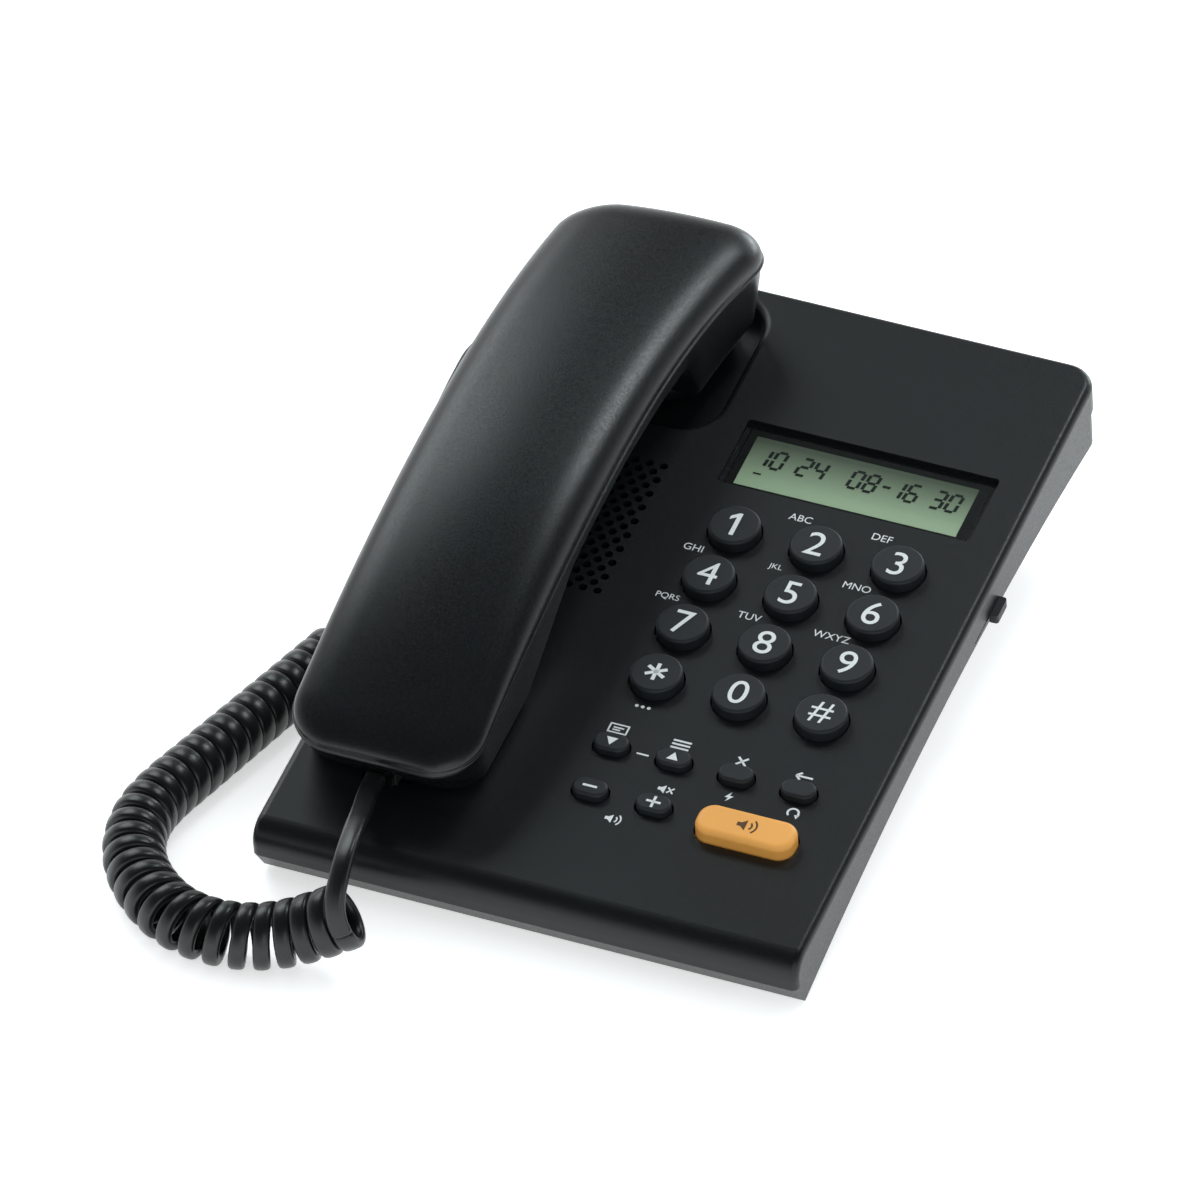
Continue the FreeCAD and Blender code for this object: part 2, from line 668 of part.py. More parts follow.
def make_lower_cabinet():
    """Tray under the deck with arched sides, a deeper belly, screw bosses and the jack openings."""
    body = new_body("lower_cabinet")
    reveal, wall = D.reveal, D.wall
    back = D.deck_length - reveal
    rim = new_sketch(body, "YZ_Plane")
    outline(
        rim,
        (reveal, -D.skirt), (D.front_lean, -D.arch_front),
        (D.arch_crown_y, -D.arch_crown, back, -D.arch_back), (back, -D.skirt),
    )
    width = D.base_width - 2 * reveal
    pad_across(body, rim, width)
    fillet(body, D.back_corner - reveal, lambda edge: upright_at(edge, back))
    belly_left = D.belly_left - HALF_WIDTH
    belly_width = D.base_width - D.belly_left - D.belly_right
    belly_end = D.deck_length - D.belly_back

    def belly(inset, top):
        """Side outline of the belly: level with the table in front, then along the slope."""
        front = D.belly_front + inset
        floor = inset
        low = D.belly_depth - floor
        bend = (D.foot_height - D.front_height + D.belly_depth * SLOPE_COS) / SLOPE_SIN
        return ((front, top), (front, under_table_gap(front) + floor), (bend, -low),
                (belly_end - inset, -low), (belly_end - inset, top))

    shape = new_sketch(body, "YZ_Plane", belly_left)
    outline(shape, *belly(as_size(0), -D.skirt))
    pad(body, shape, belly_width)
    above = 1 - D.skirt
    hollow = new_sketch(body, "YZ_Plane")
    outline(
        hollow,
        (reveal + wall, above), (D.front_lean + wall, D.wing_floor - D.arch_front),
        (D.arch_crown_y, D.wing_floor - D.arch_crown, back - wall, D.wing_floor - D.arch_back),
        (back - wall, above),
    )
    pocket_across(body, hollow, width - 2 * wall)
    fillet(body, D.back_corner - reveal - wall, lambda edge: upright_at(edge, back - wall))
    inner = new_sketch(body, "YZ_Plane", belly_left + D.belly_wall)
    outline(inner, *belly(D.belly_wall, above))
    pocket(body, inner, belly_width - 2 * D.belly_wall, reverse=True)
    # Screw bosses stand on the floor up to the upper ones
    boss_top = -(D.boss_end + D.fit_gap)
    for pair in (BOSSES[:2], BOSSES[2:]):
        bosses = new_sketch(body, "XY_Plane", boss_top)
        for x, y in pair:
            circle(bosses, x, y, D.lower_boss)
        deepest = max(under_table_gap(min(y for _, y in pair)), -D.belly_depth, key=lambda level: level.value)
        pad(body, bosses, boss_top - deepest - D.belly_wall / 2, reverse=True)
    holes = new_sketch(body, "XY_Plane", boss_top)
    heads = new_sketch(body, "XY_Plane", boss_top - D.screw_web)
    for x, y in BOSSES:
        circle(holes, x, y, D.screw_radius + 2 * D.screw_gap)
        circle(heads, x, y, D.screw_head + 4 * D.screw_gap)
    pocket(body, holes, D.belly_depth)
    pocket(body, heads, D.belly_depth)

    def opening(draw, level, length, role, reverse):
        sketch = new_sketch(body, role, level)
        draw(sketch)
        pocket(body, sketch, length, reverse)

    # Slot for the ringer knob's tongue in the right wall
    front = D.slider_y - D.slider_travel - D.tongue_length / 2 - D.slider_gap
    opening(lambda s: box_outline(s, front, D.slider_y + D.tongue_length / 2 + D.slider_gap,
                                  D.tongue_z - D.tongue_thick / 2 - D.slider_gap, above),
            HALF_WIDTH - reveal - wall - 1, wall + 2, "YZ_Plane", True)
    # Handset jack in the left wall
    half_wide = D.plug_width / 2 + D.plug_gap + D.socket_wall + D.fit_gap
    half_high = D.plug_height / 2 + D.plug_gap + D.socket_wall + D.fit_gap
    opening(lambda s: box_outline(s, D.side_jack_y - half_wide, D.side_jack_y + half_wide,
                                  SIDE_JACK_Z - half_high, SIDE_JACK_Z + half_high),
            reveal + wall + 1 - HALF_WIDTH, wall + 2, "YZ_Plane", False)
    # Line jack in the back wall
    half_wide = D.line_width / 2 + D.socket_wall + D.fit_gap
    half_high = D.line_height / 2 + D.socket_wall + D.fit_gap
    opening(lambda s: box_outline(s, D.line_jack_x - half_wide, D.line_jack_x + half_wide,
                                  D.line_z - half_high, D.line_z + half_high),
            -(back + 1), wall + 2, "XZ_Plane", True)
    # Sound hole of the hands-free microphone in the floor
    sound = new_sketch(body, "XY_Plane", -D.belly_depth)
    circle(sound, MICROPHONE[0], MICROPHONE[1], D.sound_hole)
    pocket(body, sound, D.belly_depth - D.skirt, reverse=True)
    keep(body, "lower_cabinet")


MICROPHONE = (12, 19)


def make_desk_stand():
    """Hollow wedge under the back of the belly, open below, that holds the deck at its slope."""
    body = new_body("desk_stand")

    def drop(y, level, reach):
        """Deck point straight below another, a reach above the table."""
        height = D.front_height + as_size(y) * SLOPE_SIN + level * SLOPE_COS - reach
        return as_size(y) - height * SLOPE_SIN, level - height * SLOPE_COS

    top = -D.belly_depth
    wedge = new_sketch(body, "YZ_Plane", -D.stand_half)
    outline(wedge, (D.stand_front, top), drop(D.stand_front, top, D.foot_height),
            drop(D.stand_back, top, D.foot_height), (D.stand_back, top))
    pad(body, wedge, 2 * D.stand_half)
    wall = D.stand_wall
    inner = new_sketch(body, "YZ_Plane", wall - D.stand_half)
    under = top - wall
    outline(inner, (D.stand_front + wall, under), drop(D.stand_front + wall, under, 0),
            drop(D.stand_back - wall, under, 0), (D.stand_back - wall, under))
    pocket(body, inner, 2 * (D.stand_half - wall), reverse=True)
    keep(body, "desk_stand")


def make_feet():
    """Four rubber feet: two under the belly's level front, two under the stand's back wall."""
    feet = []
    back_y = D.stand_back * SLOPE_COS + D.belly_depth * SLOPE_SIN + BACK_SHIFT - D.foot_radius
    front_y = on_deck(0, D.front_foot_y, under_table_gap(D.front_foot_y))[1]
    for y in (front_y, back_y):
        for side in (-1, 1):
            foot = doc.addObject("Part::Cylinder", "foot")
            bind(foot, "Radius", D.foot_radius)
            bind(foot, "Height", D.foot_height)
            bind(foot, "Placement.Base.x", side * D.foot_side + SIDE_SHIFT)
            bind(foot, "Placement.Base.y", y)
            feet.append(foot)
    group = doc.addObject("Part::Compound", "rubber_feet")
    group.Links = feet
    keep(group, "rubber_feet")


def make_screws(label, spots, head_low, web, reach):
    """A group of like screws square to the deck: head below, shank up through the web."""
    screws = []
    for x, y in spots:
        head = cylinder("screw_head", D.screw_head, D.head_thick, x, y, head_low)
        shank = cylinder("screw_shank", D.screw_radius, web + reach, x, y, head_low + D.head_thick)
        screw = doc.addObject("Part::Fuse", "screw")
        screw.Base = head
        screw.Tool = shank
        screws.append(screw)
    group = doc.addObject("Part::Compound", label)
    group.Links = screws
    keep(group, label)


def make_display():
    """Clear window flush with the deck, display glass under it, and the frame that holds the glass."""
    def centred(body, level, width, height, radius=None):
        sketch = new_sketch(body, "XY_Plane", level)
        left, low = D.window_x - width / 2, D.window_y - height / 2
        if radius is None:
            box_outline(sketch, left, left + width, low, low + height)
        else:
            round_box(sketch, left, left + width, low, low + height, radius)
        return sketch

    window = new_body("display_window")
    pad(window, centred(window, WINDOW_LOW, D.window_width - 2 * D.fit_gap,
                        D.window_height - 2 * D.fit_gap, D.window_corner), D.window_thick)
    keep(window, "display_window")
    glass = new_body("display_glass")
    pad(glass, centred(glass, LCD_LOW, LCD_WIDTH, LCD_HEIGHT), D.lcd_thick)
    keep(glass, "display_glass")
    holder = new_body("display_holder")
    rim = D.holder_rim
    pad(holder, centred(holder, BOARD_TOP, LCD_WIDTH + 2 * rim, LCD_HEIGHT + 2 * rim), LCD_LOW - BOARD_TOP)
    pocket(holder, centred(holder, LCD_LOW, LCD_WIDTH - 2 * rim, LCD_HEIGHT - 2 * rim), D.board_thick)
    keep(holder, "display_holder")


def make_board():
    """Circuit board under the keys, with an arm to the hook switch."""
    body = new_body("main_board")
    sketch = new_sketch(body, "XY_Plane", BOARD_LOW)
    outline(
        sketch,
        (D.board_left, D.board_front), (D.board_right, D.board_front), (D.board_right, D.board_back),
        (D.board_left, D.board_back), (D.board_left, D.arm_back), (D.arm_left, D.arm_back),
        (D.arm_left, D.arm_front), (D.board_left, D.arm_front),
    )
    pad(body, sketch, D.board_thick)
    hole = new_sketch(body, "XY_Plane", BOARD_TOP)
    half = D.board_hole / 2
    box_outline(hole, D.handset_x - half, D.handset_x + half, D.hook_y - half, D.hook_y + half)
    pocket(body, hole, D.board_thick)
    keep(body, "main_board")


def make_mat():
    """Rubber sheet on the board, with a dome under every key."""
    body = new_body("keypad_mat")
    sheet = new_sketch(body, "XY_Plane", BOARD_TOP)
    edge = 2 * (D.post_radius + 0.6)
    top = D.window_y - D.window_height / 2 - D.holder_rim
    box_outline(sheet, D.board_left + edge, D.board_right - 0.2, D.volume_y - D.row_pitch / 3, top)
    pad(body, sheet, D.mat_thick)
    domes = new_sketch(body, "XY_Plane", MAT_TOP)
    for _, column, row in DIAL_KEYS:
        circle(domes, *key_place(column, row), D.dome_radius)
    for _, x, y in oval_places():
        circle(domes, x, y, D.small_dome_radius)
    circle(domes, D.speaker_key_x, D.speaker_key_y, D.small_dome_radius)
    pad(body, domes, D.dome_gap - D.touch_gap)
    keep(body, "keypad_mat")


def make_key(name, x, y, draw, proud, edge):
    """A key with its cap through the deck and a flange under it."""
    body = new_body(name, x, y)
    flange = new_sketch(body, "XY_Plane", FLANGE_LOW)
    draw(flange, D.key_flange)
    pad(body, flange, D.flange_thick)
    cap = new_sketch(body, "XY_Plane", -D.flange_top)
    draw(cap, as_size(0))
    pad(body, cap, proud + D.flange_top)
    fillet(body, edge, lambda line: level_at(line, proud))
    keep(body, name)


def make_keys():
    """Twelve round dial keys, six small oval keys and the speakerphone key."""
    for name, column, row in DIAL_KEYS:
        make_key(name, *key_place(column, row), lambda s, extra: circle(s, 0, 0, D.key_radius + extra),
                 D.key_proud, D.key_edge)
    for name, x, y in oval_places():
        make_key(name, x, y, lambda s, extra: stadium(s, 0, 0, D.oval_length + 2 * extra,
                                                      D.oval_height + 2 * extra), D.oval_proud, D.key_edge)

    def bar(sketch, extra):
        half_length = D.speaker_key_length / 2 + extra
        half_height = D.speaker_key_height / 2 + extra
        round_box(sketch, -half_length, half_length, -half_height, half_height, D.speaker_key_round + extra)

    make_key("speakerphone_key", D.speaker_key_x, D.speaker_key_y, bar, D.speaker_key_proud, 2 * D.key_edge)


def make_hook():
    """Plunger that the handset holds down, and the switch under the board that it works."""
    body = new_body("hook_plunger", D.handset_x, D.hook_y)
    half_width, half_depth = D.hook_width / 2, D.hook_depth / 2
    edge = D.key_flange
    foot = new_sketch(body, "XY_Plane", HOOK_FOOT_LOW)
    half = D.hook_foot / 2
    box_outline(foot, -half, half, -half, half)
    pad(body, foot, HOOK_FLANGE_LOW - HOOK_FOOT_LOW)
    flange = new_sketch(body, "XY_Plane", HOOK_FLANGE_LOW)
    box_outline(flange, -half_width - edge, half_width + edge, -half_depth - edge, half_depth + edge)
    pad(body, flange, D.flange_thick)
    stem = new_sketch(body, "XY_Plane", HOOK_FLANGE_TOP)
    round_box(stem, -half_width, half_width, -half_depth, half_depth, D.key_edge)
    pad(body, stem, HOOK_TOP - HOOK_FLANGE_TOP)
    fillet(body, D.key_edge, lambda line: level_at(line, HOOK_TOP))
    keep(body, "hook_plunger")
    half = D.switch_side / 2
    switch = block("hook_switch", D.handset_x - half, D.handset_x + half, D.hook_y - half, D.hook_y + half,
                   BOARD_LOW - D.switch_deep, BOARD_LOW)
    button = new_sketch(switch, "XY_Plane", BOARD_LOW)
    circle(button, D.handset_x, D.hook_y, D.screw_radius)
    pad(switch, button, D.button_rise)
    keep(switch, "hook_switch")


def make_loudspeaker():
    """Loudspeaker under the grille: a pressed frame with its magnet, and the paper cone in it."""
    rim, top, thick = D.cone_radius, -D.deck_thick, D.frame_rim
    neck = rim - D.basket_inset
    frame = new_body("loudspeaker", D.cone_x, D.cone_y)
    profile = new_sketch(frame, "YZ_Plane")
    outline(
        profile,
        (rim - thick, top), (rim, top), (rim, top - thick), (rim - thick, top - thick),
        (neck, top - D.basket_deep), (neck, top - D.frame_deep), (0, top - D.frame_deep), (0, top - D.magnet_deep),
        (neck - thick, top - D.magnet_deep), (rim - thick * 1.5, top - thick),
    )
    spin(frame, profile)
    keep(frame, "loudspeaker")
    cone = new_body("speaker_cone", D.cone_x, D.cone_y)
    low, upper, edge = top - D.cone_deep, top - D.cone_gap, rim - D.cone_edge
    profile = new_sketch(cone, "YZ_Plane")
    outline(
        profile,
        (0, low), (rim - D.cone_inset, low), (edge - 2 * D.cone_thick, upper - D.cone_thick),
        (edge, upper - D.cone_thick), (edge, upper), (edge - 2.5 * D.cone_thick, upper),
        (rim - D.cone_inset - D.cone_thick / 2, low + D.cone_thick), (0, low + D.cone_thick),
    )
    spin(cone, profile)
    keep(cone, "speaker_cone")


def spin(body, sketch):
    """Turns a side outline right round the body's own upright axis."""
    feature = body.newObject("PartDesign::Revolution", f"{body.Name}_turn")
    feature.Profile = sketch
    feature.ReferenceAxis = (sketch, ["V_Axis"])
    feature.Angle = 360
    body.Tip = feature
    doc.recompute()


def make_microphone():
    """Hands-free microphone capsule over its sound hole in the floor."""
    x, y = MICROPHONE
    low = under_table_gap(y) + D.belly_wall + 1
    keep(cylinder("handsfree_microphone", D.mic_radius * 0.7, D.mic_thick * 0.8, x, y, low),
         "handsfree_microphone")


def make_ringer():
    """Slide knob on the right side wall and the switch that its tongue works."""
    wall_face = HALF_WIDTH - D.reveal
    knob = new_body("ringer_knob", 0, D.slider_y)
    grip = new_sketch(knob, "YZ_Plane", wall_face + D.fit_gap * 2)
    half = D.slider_length / 2
    box_outline(grip, -half, half, D.slider_z - D.slider_thick / 2, D.slider_z + D.slider_thick / 2)
    pad(knob, grip, D.slider_out + D.reveal - 2 * D.fit_gap)
    fillet(knob, D.key_edge, lambda edge: near(edge.BoundBox.XMin, HALF_WIDTH + D.slider_out)
           and near(edge.BoundBox.YLength, 0))
    tongue = new_sketch(knob, "YZ_Plane", wall_face + D.fit_gap * 2)
    half = D.tongue_length / 2
    box_outline(tongue, -half, half, D.tongue_z - D.tongue_thick / 2, D.tongue_z + D.tongue_thick / 2)
    pad(knob, tongue, D.wall + 2, reverse=True)
    keep(knob, "ringer_knob")
    inner = wall_face - D.wall - 2
    middle = D.slider_y - D.slider_travel / 2
    switch = block("ringer_switch", inner - 7, inner, middle - 11, middle + 11,
                   D.tongue_z - D.tongue_thick / 2, -D.skirt / 2)
    keep(switch, "ringer_switch")


def make_jacks():
    """Modular sockets: the line jack in the back wall and the handset jack in the left wall."""
    wall = D.socket_wall
    back = D.deck_length - D.reveal
    line = new_body("line_jack", D.line_jack_x, 0, D.line_z)
    housing = new_sketch(line, "XZ_Plane", -back)
    half_wide, half_high = D.line_width / 2, D.line_height / 2
    box_outline(housing, -half_wide - wall, half_wide + wall, -half_high - wall, half_high + wall)
    pad(line, housing, D.line_depth)
    socket = new_sketch(line, "XZ_Plane", -back)
    box_outline(socket, -half_wide, half_wide, -half_high, half_high)
    pocket(line, socket, D.line_depth - 2 * wall, reverse=True)
    keep(line, "line_jack")
    side = new_body("handset_jack", 0, D.side_jack_y, SIDE_JACK_Z)
    face = D.reveal - HALF_WIDTH
    half_wide, half_high = D.plug_width / 2 + D.plug_gap, D.plug_height / 2 + D.plug_gap
    housing = new_sketch(side, "YZ_Plane", face)
    box_outline(housing, -half_wide - wall, half_wide + wall, -half_high - wall, half_high + wall)
    pad(side, housing, D.plug_seat + D.plug_gap + 2 * wall)
    socket = new_sketch(side, "YZ_Plane", face)
    box_outline(socket, -half_wide, half_wide, -half_high, half_high)
    pocket(side, socket, D.plug_seat + D.plug_gap, reverse=True)
    keep(side, "handset_jack")


# Parting line of the handset's shells at its front end, highest point and back end
PART_FRONT = D.top_front - D.lid_front
PART_APEX = D.top_apex - D.lid_side
PART_BACK = D.top_back - D.lid_side
HANDSET_HALF = D.handset_width / 2
MOUTH_FLOOR = D.mouth_gap + D.shell_wall
EAR_FLOOR = D.shell_wall - D.ear_depth
HANDSET_SCREWS = tuple((D.handset_x, y) for y in (D.grip_front + D.lower_boss, D.grip_back - D.lower_boss * 2))


def end_corner(edge, half):
    """Whether an edge is one of the four corners at the ends of a handset shell."""
    box = edge.BoundBox
    ends = box.YMax < D.mouth_front.value + 4 or box.YMin > D.ear_back.value - 4
    return ends and near(box.XLength, 0) and near(abs(box.XMin), half) and box.ZLength > 1


def top_solid(name, inset):
    """Solid of the upper shell's outer face, or of its hollow with an inset: a block with round corners,
    turned off along the top to the crowned arch, which has one radius to the front and one to the back."""
    body = new_body(name, D.handset_x)
    side = new_sketch(body, "YZ_Plane")
    front, back = D.handset_front + inset, D.handset_back - inset
    drop = inset - D.fit_gap
    top = D.top_apex + 1
    outline(side, (front, PART_FRONT - drop), (D.handset_apex, PART_APEX - drop, back, PART_BACK - drop),
            (back, top), (front, top))
    half = HANDSET_HALF - inset
    pad_across(body, side, 2 * half)
    fillet(body, D.handset_corner - inset, lambda edge: end_corner(edge, half.value))
    apex = D.top_apex - inset
    for end_y, end_z, reverse in ((D.handset_front, D.top_front, False), (D.handset_back, D.top_back, True)):
        span, fall = D.handset_apex - end_y, D.top_apex - end_z
        arch = (span * span + fall * fall) / (2 * fall) - inset
        crown = new_sketch(body, "XZ_Plane", -D.handset_apex)
        axle = crown.addGeometry(Part.LineSegment(flat(-half, apex - arch), flat(half, apex - arch)), True)
        pin(crown, axle, 1, -half, apex - arch)
        pin(crown, axle, 2, half, apex - arch)
        edge = half - D.handset_round + inset
        low = apex - D.crown_drop
        over = half + 1
        corner = D.handset_round - inset
        outline(
            crown,
            (-over, low - corner), (-half, low - corner),
            (-half + corner * 0.3, low - corner * 0.3, -edge, low), (0, apex, edge, low),
            (half - corner * 0.3, low - corner * 0.3, half, low - corner), (over, low - corner),
            (over, apex + D.top_apex), (-over, apex + D.top_apex),
        )
        before = body.Shape.Volume
        groove = body.newObject("PartDesign::Groove", f"{name}_arch")
        groove.Profile = crown
        groove.ReferenceAxis = (crown, ["Axis0"])
        groove.Angle = ARCH_SWEEP
        groove.Reversed = reverse
        body.Tip = groove
        doc.recompute()
        if not groove.isValid() or body.Shape.Volume > before - 1:
            raise RuntimeError(f"{name}: the arch cut nothing")
    return body


def make_top_shell():
    """Upper shell of the handset, with two bosses for its screws."""
    hollow = doc.addObject("Part::Cut", "top_shell_hollow")
    hollow.Base = top_solid("top_shell_outer", as_size(0))
    hollow.Tool = top_solid("top_shell_inner", D.shell_wall)
    bosses, pilots = [], []
    foot = D.handset_boss + D.fit_gap
    for x, y in HANDSET_SCREWS:
        bosses.append(cylinder("top_boss", D.boss_radius, D.top_apex - D.shell_wall * 1.2 - foot, x, y, foot))
        pilots.append(cylinder("top_pilot", D.screw_radius + D.screw_gap, D.screw_reach + D.fit_gap, x, y, foot))
    joined = doc.addObject("Part::MultiFuse", "top_shell_bosses")
    joined.Shapes = [hollow, *bosses]
    drills = doc.addObject("Part::Compound", "top_shell_drills")
    drills.Links = pilots
    shell = doc.addObject("Part::Cut", "handset_top_shell")
    shell.Base = joined
    shell.Tool = drills
    doc.recompute()
    keep(shell, "handset_top_shell")


def make_lower_shell():
    """Lower shell of the handset: side walls, grip, mouth cap and ear cap with their sound holes."""
    body = new_body("handset_lower_shell", D.handset_x)

    def side(inset, rise):
        """Side outline: front end, mouth face, hollow under the grip, ear face, back end, parting line."""
        front, back = D.handset_front + inset, D.handset_back - inset
        floor = D.mouth_gap + inset
        middle = (D.grip_front + D.grip_back) / 2
        sketch = new_sketch(body, "YZ_Plane")
        outline(
            sketch,
            (front, PART_FRONT + rise), (D.mouth_front + inset, floor), (D.mouth_back, floor),
            (D.grip_front, D.grip_low + inset),
            (middle, D.grip_mid + inset, D.grip_back + inset, D.grip_low + inset),
            (D.ear_front + inset, floor), (D.ear_back - inset, floor), (back, PART_BACK + rise),
            ("close", D.handset_apex, PART_APEX + rise),
        )
        return sketch

    def on_level(draw, level, length, cut=False, reverse=True):
        sketch = new_sketch(body, "XY_Plane", level)
        draw(sketch)
        add_feature(body, "Pocket" if cut else "Pad", sketch, length, "One side", reverse)

    wall = D.shell_wall
    pad_across(body, side(as_size(0), as_size(0)), D.handset_width)
    pocket_across(body, side(wall, as_size(3)), D.handset_width - 2 * wall)
    fillet(body, D.handset_corner - wall, lambda edge: end_corner(edge, (HANDSET_HALF - wall).value))
    fillet(body, D.handset_corner, lambda edge: end_corner(edge, HANDSET_HALF.value))
    cap_half = HANDSET_HALF - D.ear_inset

    def ear_cap(sketch, inset):
        round_box(sketch, inset - cap_half, cap_half - inset, D.ear_front + inset, D.ear_back - inset,
                  D.well_corner - inset)

    overlap = wall / 2
    on_level(lambda s: ear_cap(s, as_size(0)), D.mouth_gap + overlap, D.mouth_gap + overlap + D.ear_depth)
    on_level(lambda s: circle(s, 0, D.mouth_y, D.cap_radius), D.mouth_gap + overlap,
             D.mouth_gap + overlap + D.cap_depth)
    on_level(lambda s: ear_cap(s, wall), MOUTH_FLOOR + 1, MOUTH_FLOOR + 1 - EAR_FLOOR, True, False)
    spots = [y for _, y in HANDSET_SCREWS]

    def rings(radius):
        def draw(sketch):
            for y in spots:
                circle(sketch, 0, y, radius)
        return draw

    boss = D.handset_boss
    on_level(rings(D.lower_boss), boss, boss - D.grip_mid)
    on_level(rings(D.screw_radius + 2 * D.screw_gap), boss, boss - D.mouth_gap, True, False)
    on_level(rings(D.screw_head + 4 * D.screw_gap), boss - D.screw_web, boss - D.mouth_gap, True, False)

    def sound_holes(sketch):
        for y in (D.mouth_y, D.ear_y):
            circle(sketch, 0, y, D.sound_hole)
            for turn in range(SOUND_HOLES):
                angle = 2 * math.pi * turn / SOUND_HOLES
                circle(sketch, D.sound_pitch * math.cos(angle), y + D.sound_pitch * math.sin(angle),
                       D.sound_hole)

    on_level(sound_holes, MOUTH_FLOOR, D.ear_depth + MOUTH_FLOOR, True, False)
    # Opening for the cord jack in the front wall
    half_wide = D.plug_width / 2 + D.plug_gap + D.socket_wall + D.fit_gap
    half_high = D.plug_height / 2 + D.plug_gap + D.socket_wall + D.fit_gap
    front = new_sketch(body, "XZ_Plane", -D.handset_front)
    box_outline(front, -half_wide, half_wide, D.handset_jack_z - half_high, D.handset_jack_z + half_high)
    pocket(body, front, D.mouth_front + wall - D.handset_front)
    keep(body, "handset_lower_shell")


def make_handset_insides():
    """Receiver, microphone, ballast bar and cord jack inside the handset."""
    gap = D.fit_gap
    keep(cylinder("receiver_capsule", D.receiver_radius, D.receiver_thick, D.handset_x, D.ear_y,
                  EAR_FLOOR + gap), "receiver_capsule")
    keep(cylinder("mouthpiece_microphone", D.mic_radius, D.mic_thick, D.handset_x, D.mouth_y,
                  MOUTH_FLOOR + gap), "mouthpiece_microphone")
    middle = (D.grip_front + D.grip_back) / 2 - gap
    half_wide, half_long = D.weight_width / 2, D.weight_length / 2
    low = D.grip_mid + D.shell_wall + gap
    keep(block("handset_weight", D.handset_x - half_wide, D.handset_x + half_wide, middle - half_long,
               middle + half_long, low, low + D.weight_thick), "handset_weight")
    wall = D.socket_wall
    jack = new_body("handset_cord_jack", D.handset_x, PLUG_FACE_Y, D.handset_jack_z)
    half_wide, half_high = D.plug_width / 2 + D.plug_gap, D.plug_height / 2 + D.plug_gap
    housing = new_sketch(jack, "XZ_Plane")
    box_outline(housing, -half_wide - wall, half_wide + wall, -half_high - wall, half_high + wall)
    pad(jack, housing, D.plug_seat + D.plug_gap + 2 * wall, reverse=True)
    socket = new_sketch(jack, "XZ_Plane")
    box_outline(socket, -half_wide, half_wide, -half_high, half_high)
    pocket(jack, socket, D.plug_seat + D.plug_gap)
    keep(jack, "handset_cord_jack")


# Cord: a plug in each jack, a straight lead down from the handset, the curls on the table, and a tail back
# to the base. Places are read from the deck's front edge and the table; the curls' middle line is given
# with its lift off the table, and the lead and tail with their heights.
PLUG_FACE_Y = (D.handset_front + D.mouth_front) / 2
PLUG_OUT = D.plug_length - D.plug_seat
CURL_ROUTE = (
    (-37.4, -21.8, 8.3), (-45.9, -24, 3.4), (-55.6, -27.4, 0.4), (-65.7, -30.2, 0),
    (-76.7, -29.5, 0), (-86, -25, 0), (-94.9, -16.8, 0), (-101, -7, 0),
    (-103.7, 4.7, 0), (-102.8, 15.5, 0), (-99.8, 27.5, 0), (-96.8, 40, 0),
    (-93.8, 52.5, 0), (-90.8, 65, 0), (-88, 77, 0), (-85.5, 88, 0),
)
LEAD_ROUTE = ((-43.3, 3.4, 30.6), (-40.6, -9.3, 34), (-38.5, -22, 33))
TAIL_ROUTE = (
    (-81, 94.6, 19.9), (-82.6, 108.4, 21.6), (-84.6, 126, 23.2), (-86.4, 143.6, 25.4),
    (-87.4, 159.6, 28.8), (-87.2, 173.4, 33), (-86.6, 184.3, 36),
)
# Straight runs of lead and tail next to the plugs and the curls
LEAD_PLUG_RUN = 6
LEAD_CURL_RUN = 6.6
TAIL_CURL_RUN = 5.4
TAIL_PLUG_RUN = 5.4
ARCH_SWEEP = 30
SOUND_HOLES = 6
BEND_SHARE = 0.45
END_SHARE = 0.9
CURL_STEPS = 4
GAP_POINTS = 24
LEAST_GAP = 0.4
UP = FreeCAD.Vector(0, 0, 1)


def on_table(x, y, z):
    """World vector of a place measured from the deck's front edge and the table."""
    return FreeCAD.Vector(x + SIDE_SHIFT.value, y + BACK_SHIFT.value, z)


def sweep(wire, label):
    """The cord's round wire along a path, as one tube whose volume must match its length."""
    first = wire.OrderedEdges[0]
    start = first.valueAt(first.FirstParameter)
    ahead = first.tangentAt(first.FirstParameter)
    ring = Part.Wire(Part.makeCircle(D.cord_radius.value, start, ahead))
    solid = wire.makePipeShell([ring], True, False)
    if solid.ShapeType != "Solid":
        solid = Part.Solid(solid.Shells[0])
    expected = math.pi * D.cord_radius.value ** 2 * wire.Length
    print(f"{label}: {wire.Length:.1f} mm long, volume {solid.Volume / expected:.4f} of section times length")
    if abs(solid.Volume / expected - 1) > 0.01:
        raise RuntimeError(f"{label}: the tube folded over itself")
    thing = doc.addObject("Part::Feature", label)
    thing.Shape = solid
    keep(thing, label)


def run_path(points, label):
    """Straight runs joined by tangent arcs at every inner point."""
    edges, here, radii = [], points[0], []
    for before, corner, after in zip(points, points[1:], points[2:]):
        came_share = END_SHARE if before is points[0] else BEND_SHARE
        goes_share = END_SHARE if after is points[-1] else BEND_SHARE
        reach = min(came_share * corner.distanceToPoint(before), goes_share * corner.distanceToPoint(after))
        came, goes = (corner - before).normalize(), (after - corner).normalize()
        turn = came.getAngle(goes)
        radius = reach / math.tan(turn / 2)
        radii.append(radius)
        enter, leave = corner - came * reach, corner + goes * reach
        inward = (goes - came).normalize()
        middle = corner + inward * (radius / math.cos(turn / 2) - radius)
        edges.append(Part.makeLine(here, enter))
        edges.append(Part.Arc(enter, middle, leave).toShape())
        here = leave
    edges.append(Part.makeLine(here, points[-1]))
    print(f"{label}: bend radii", [round(r, 1) for r in radii], "runs",
          [round(a.distanceToPoint(b), 1) for a, b in zip(points, points[1:])])
    return Part.Wire(edges)


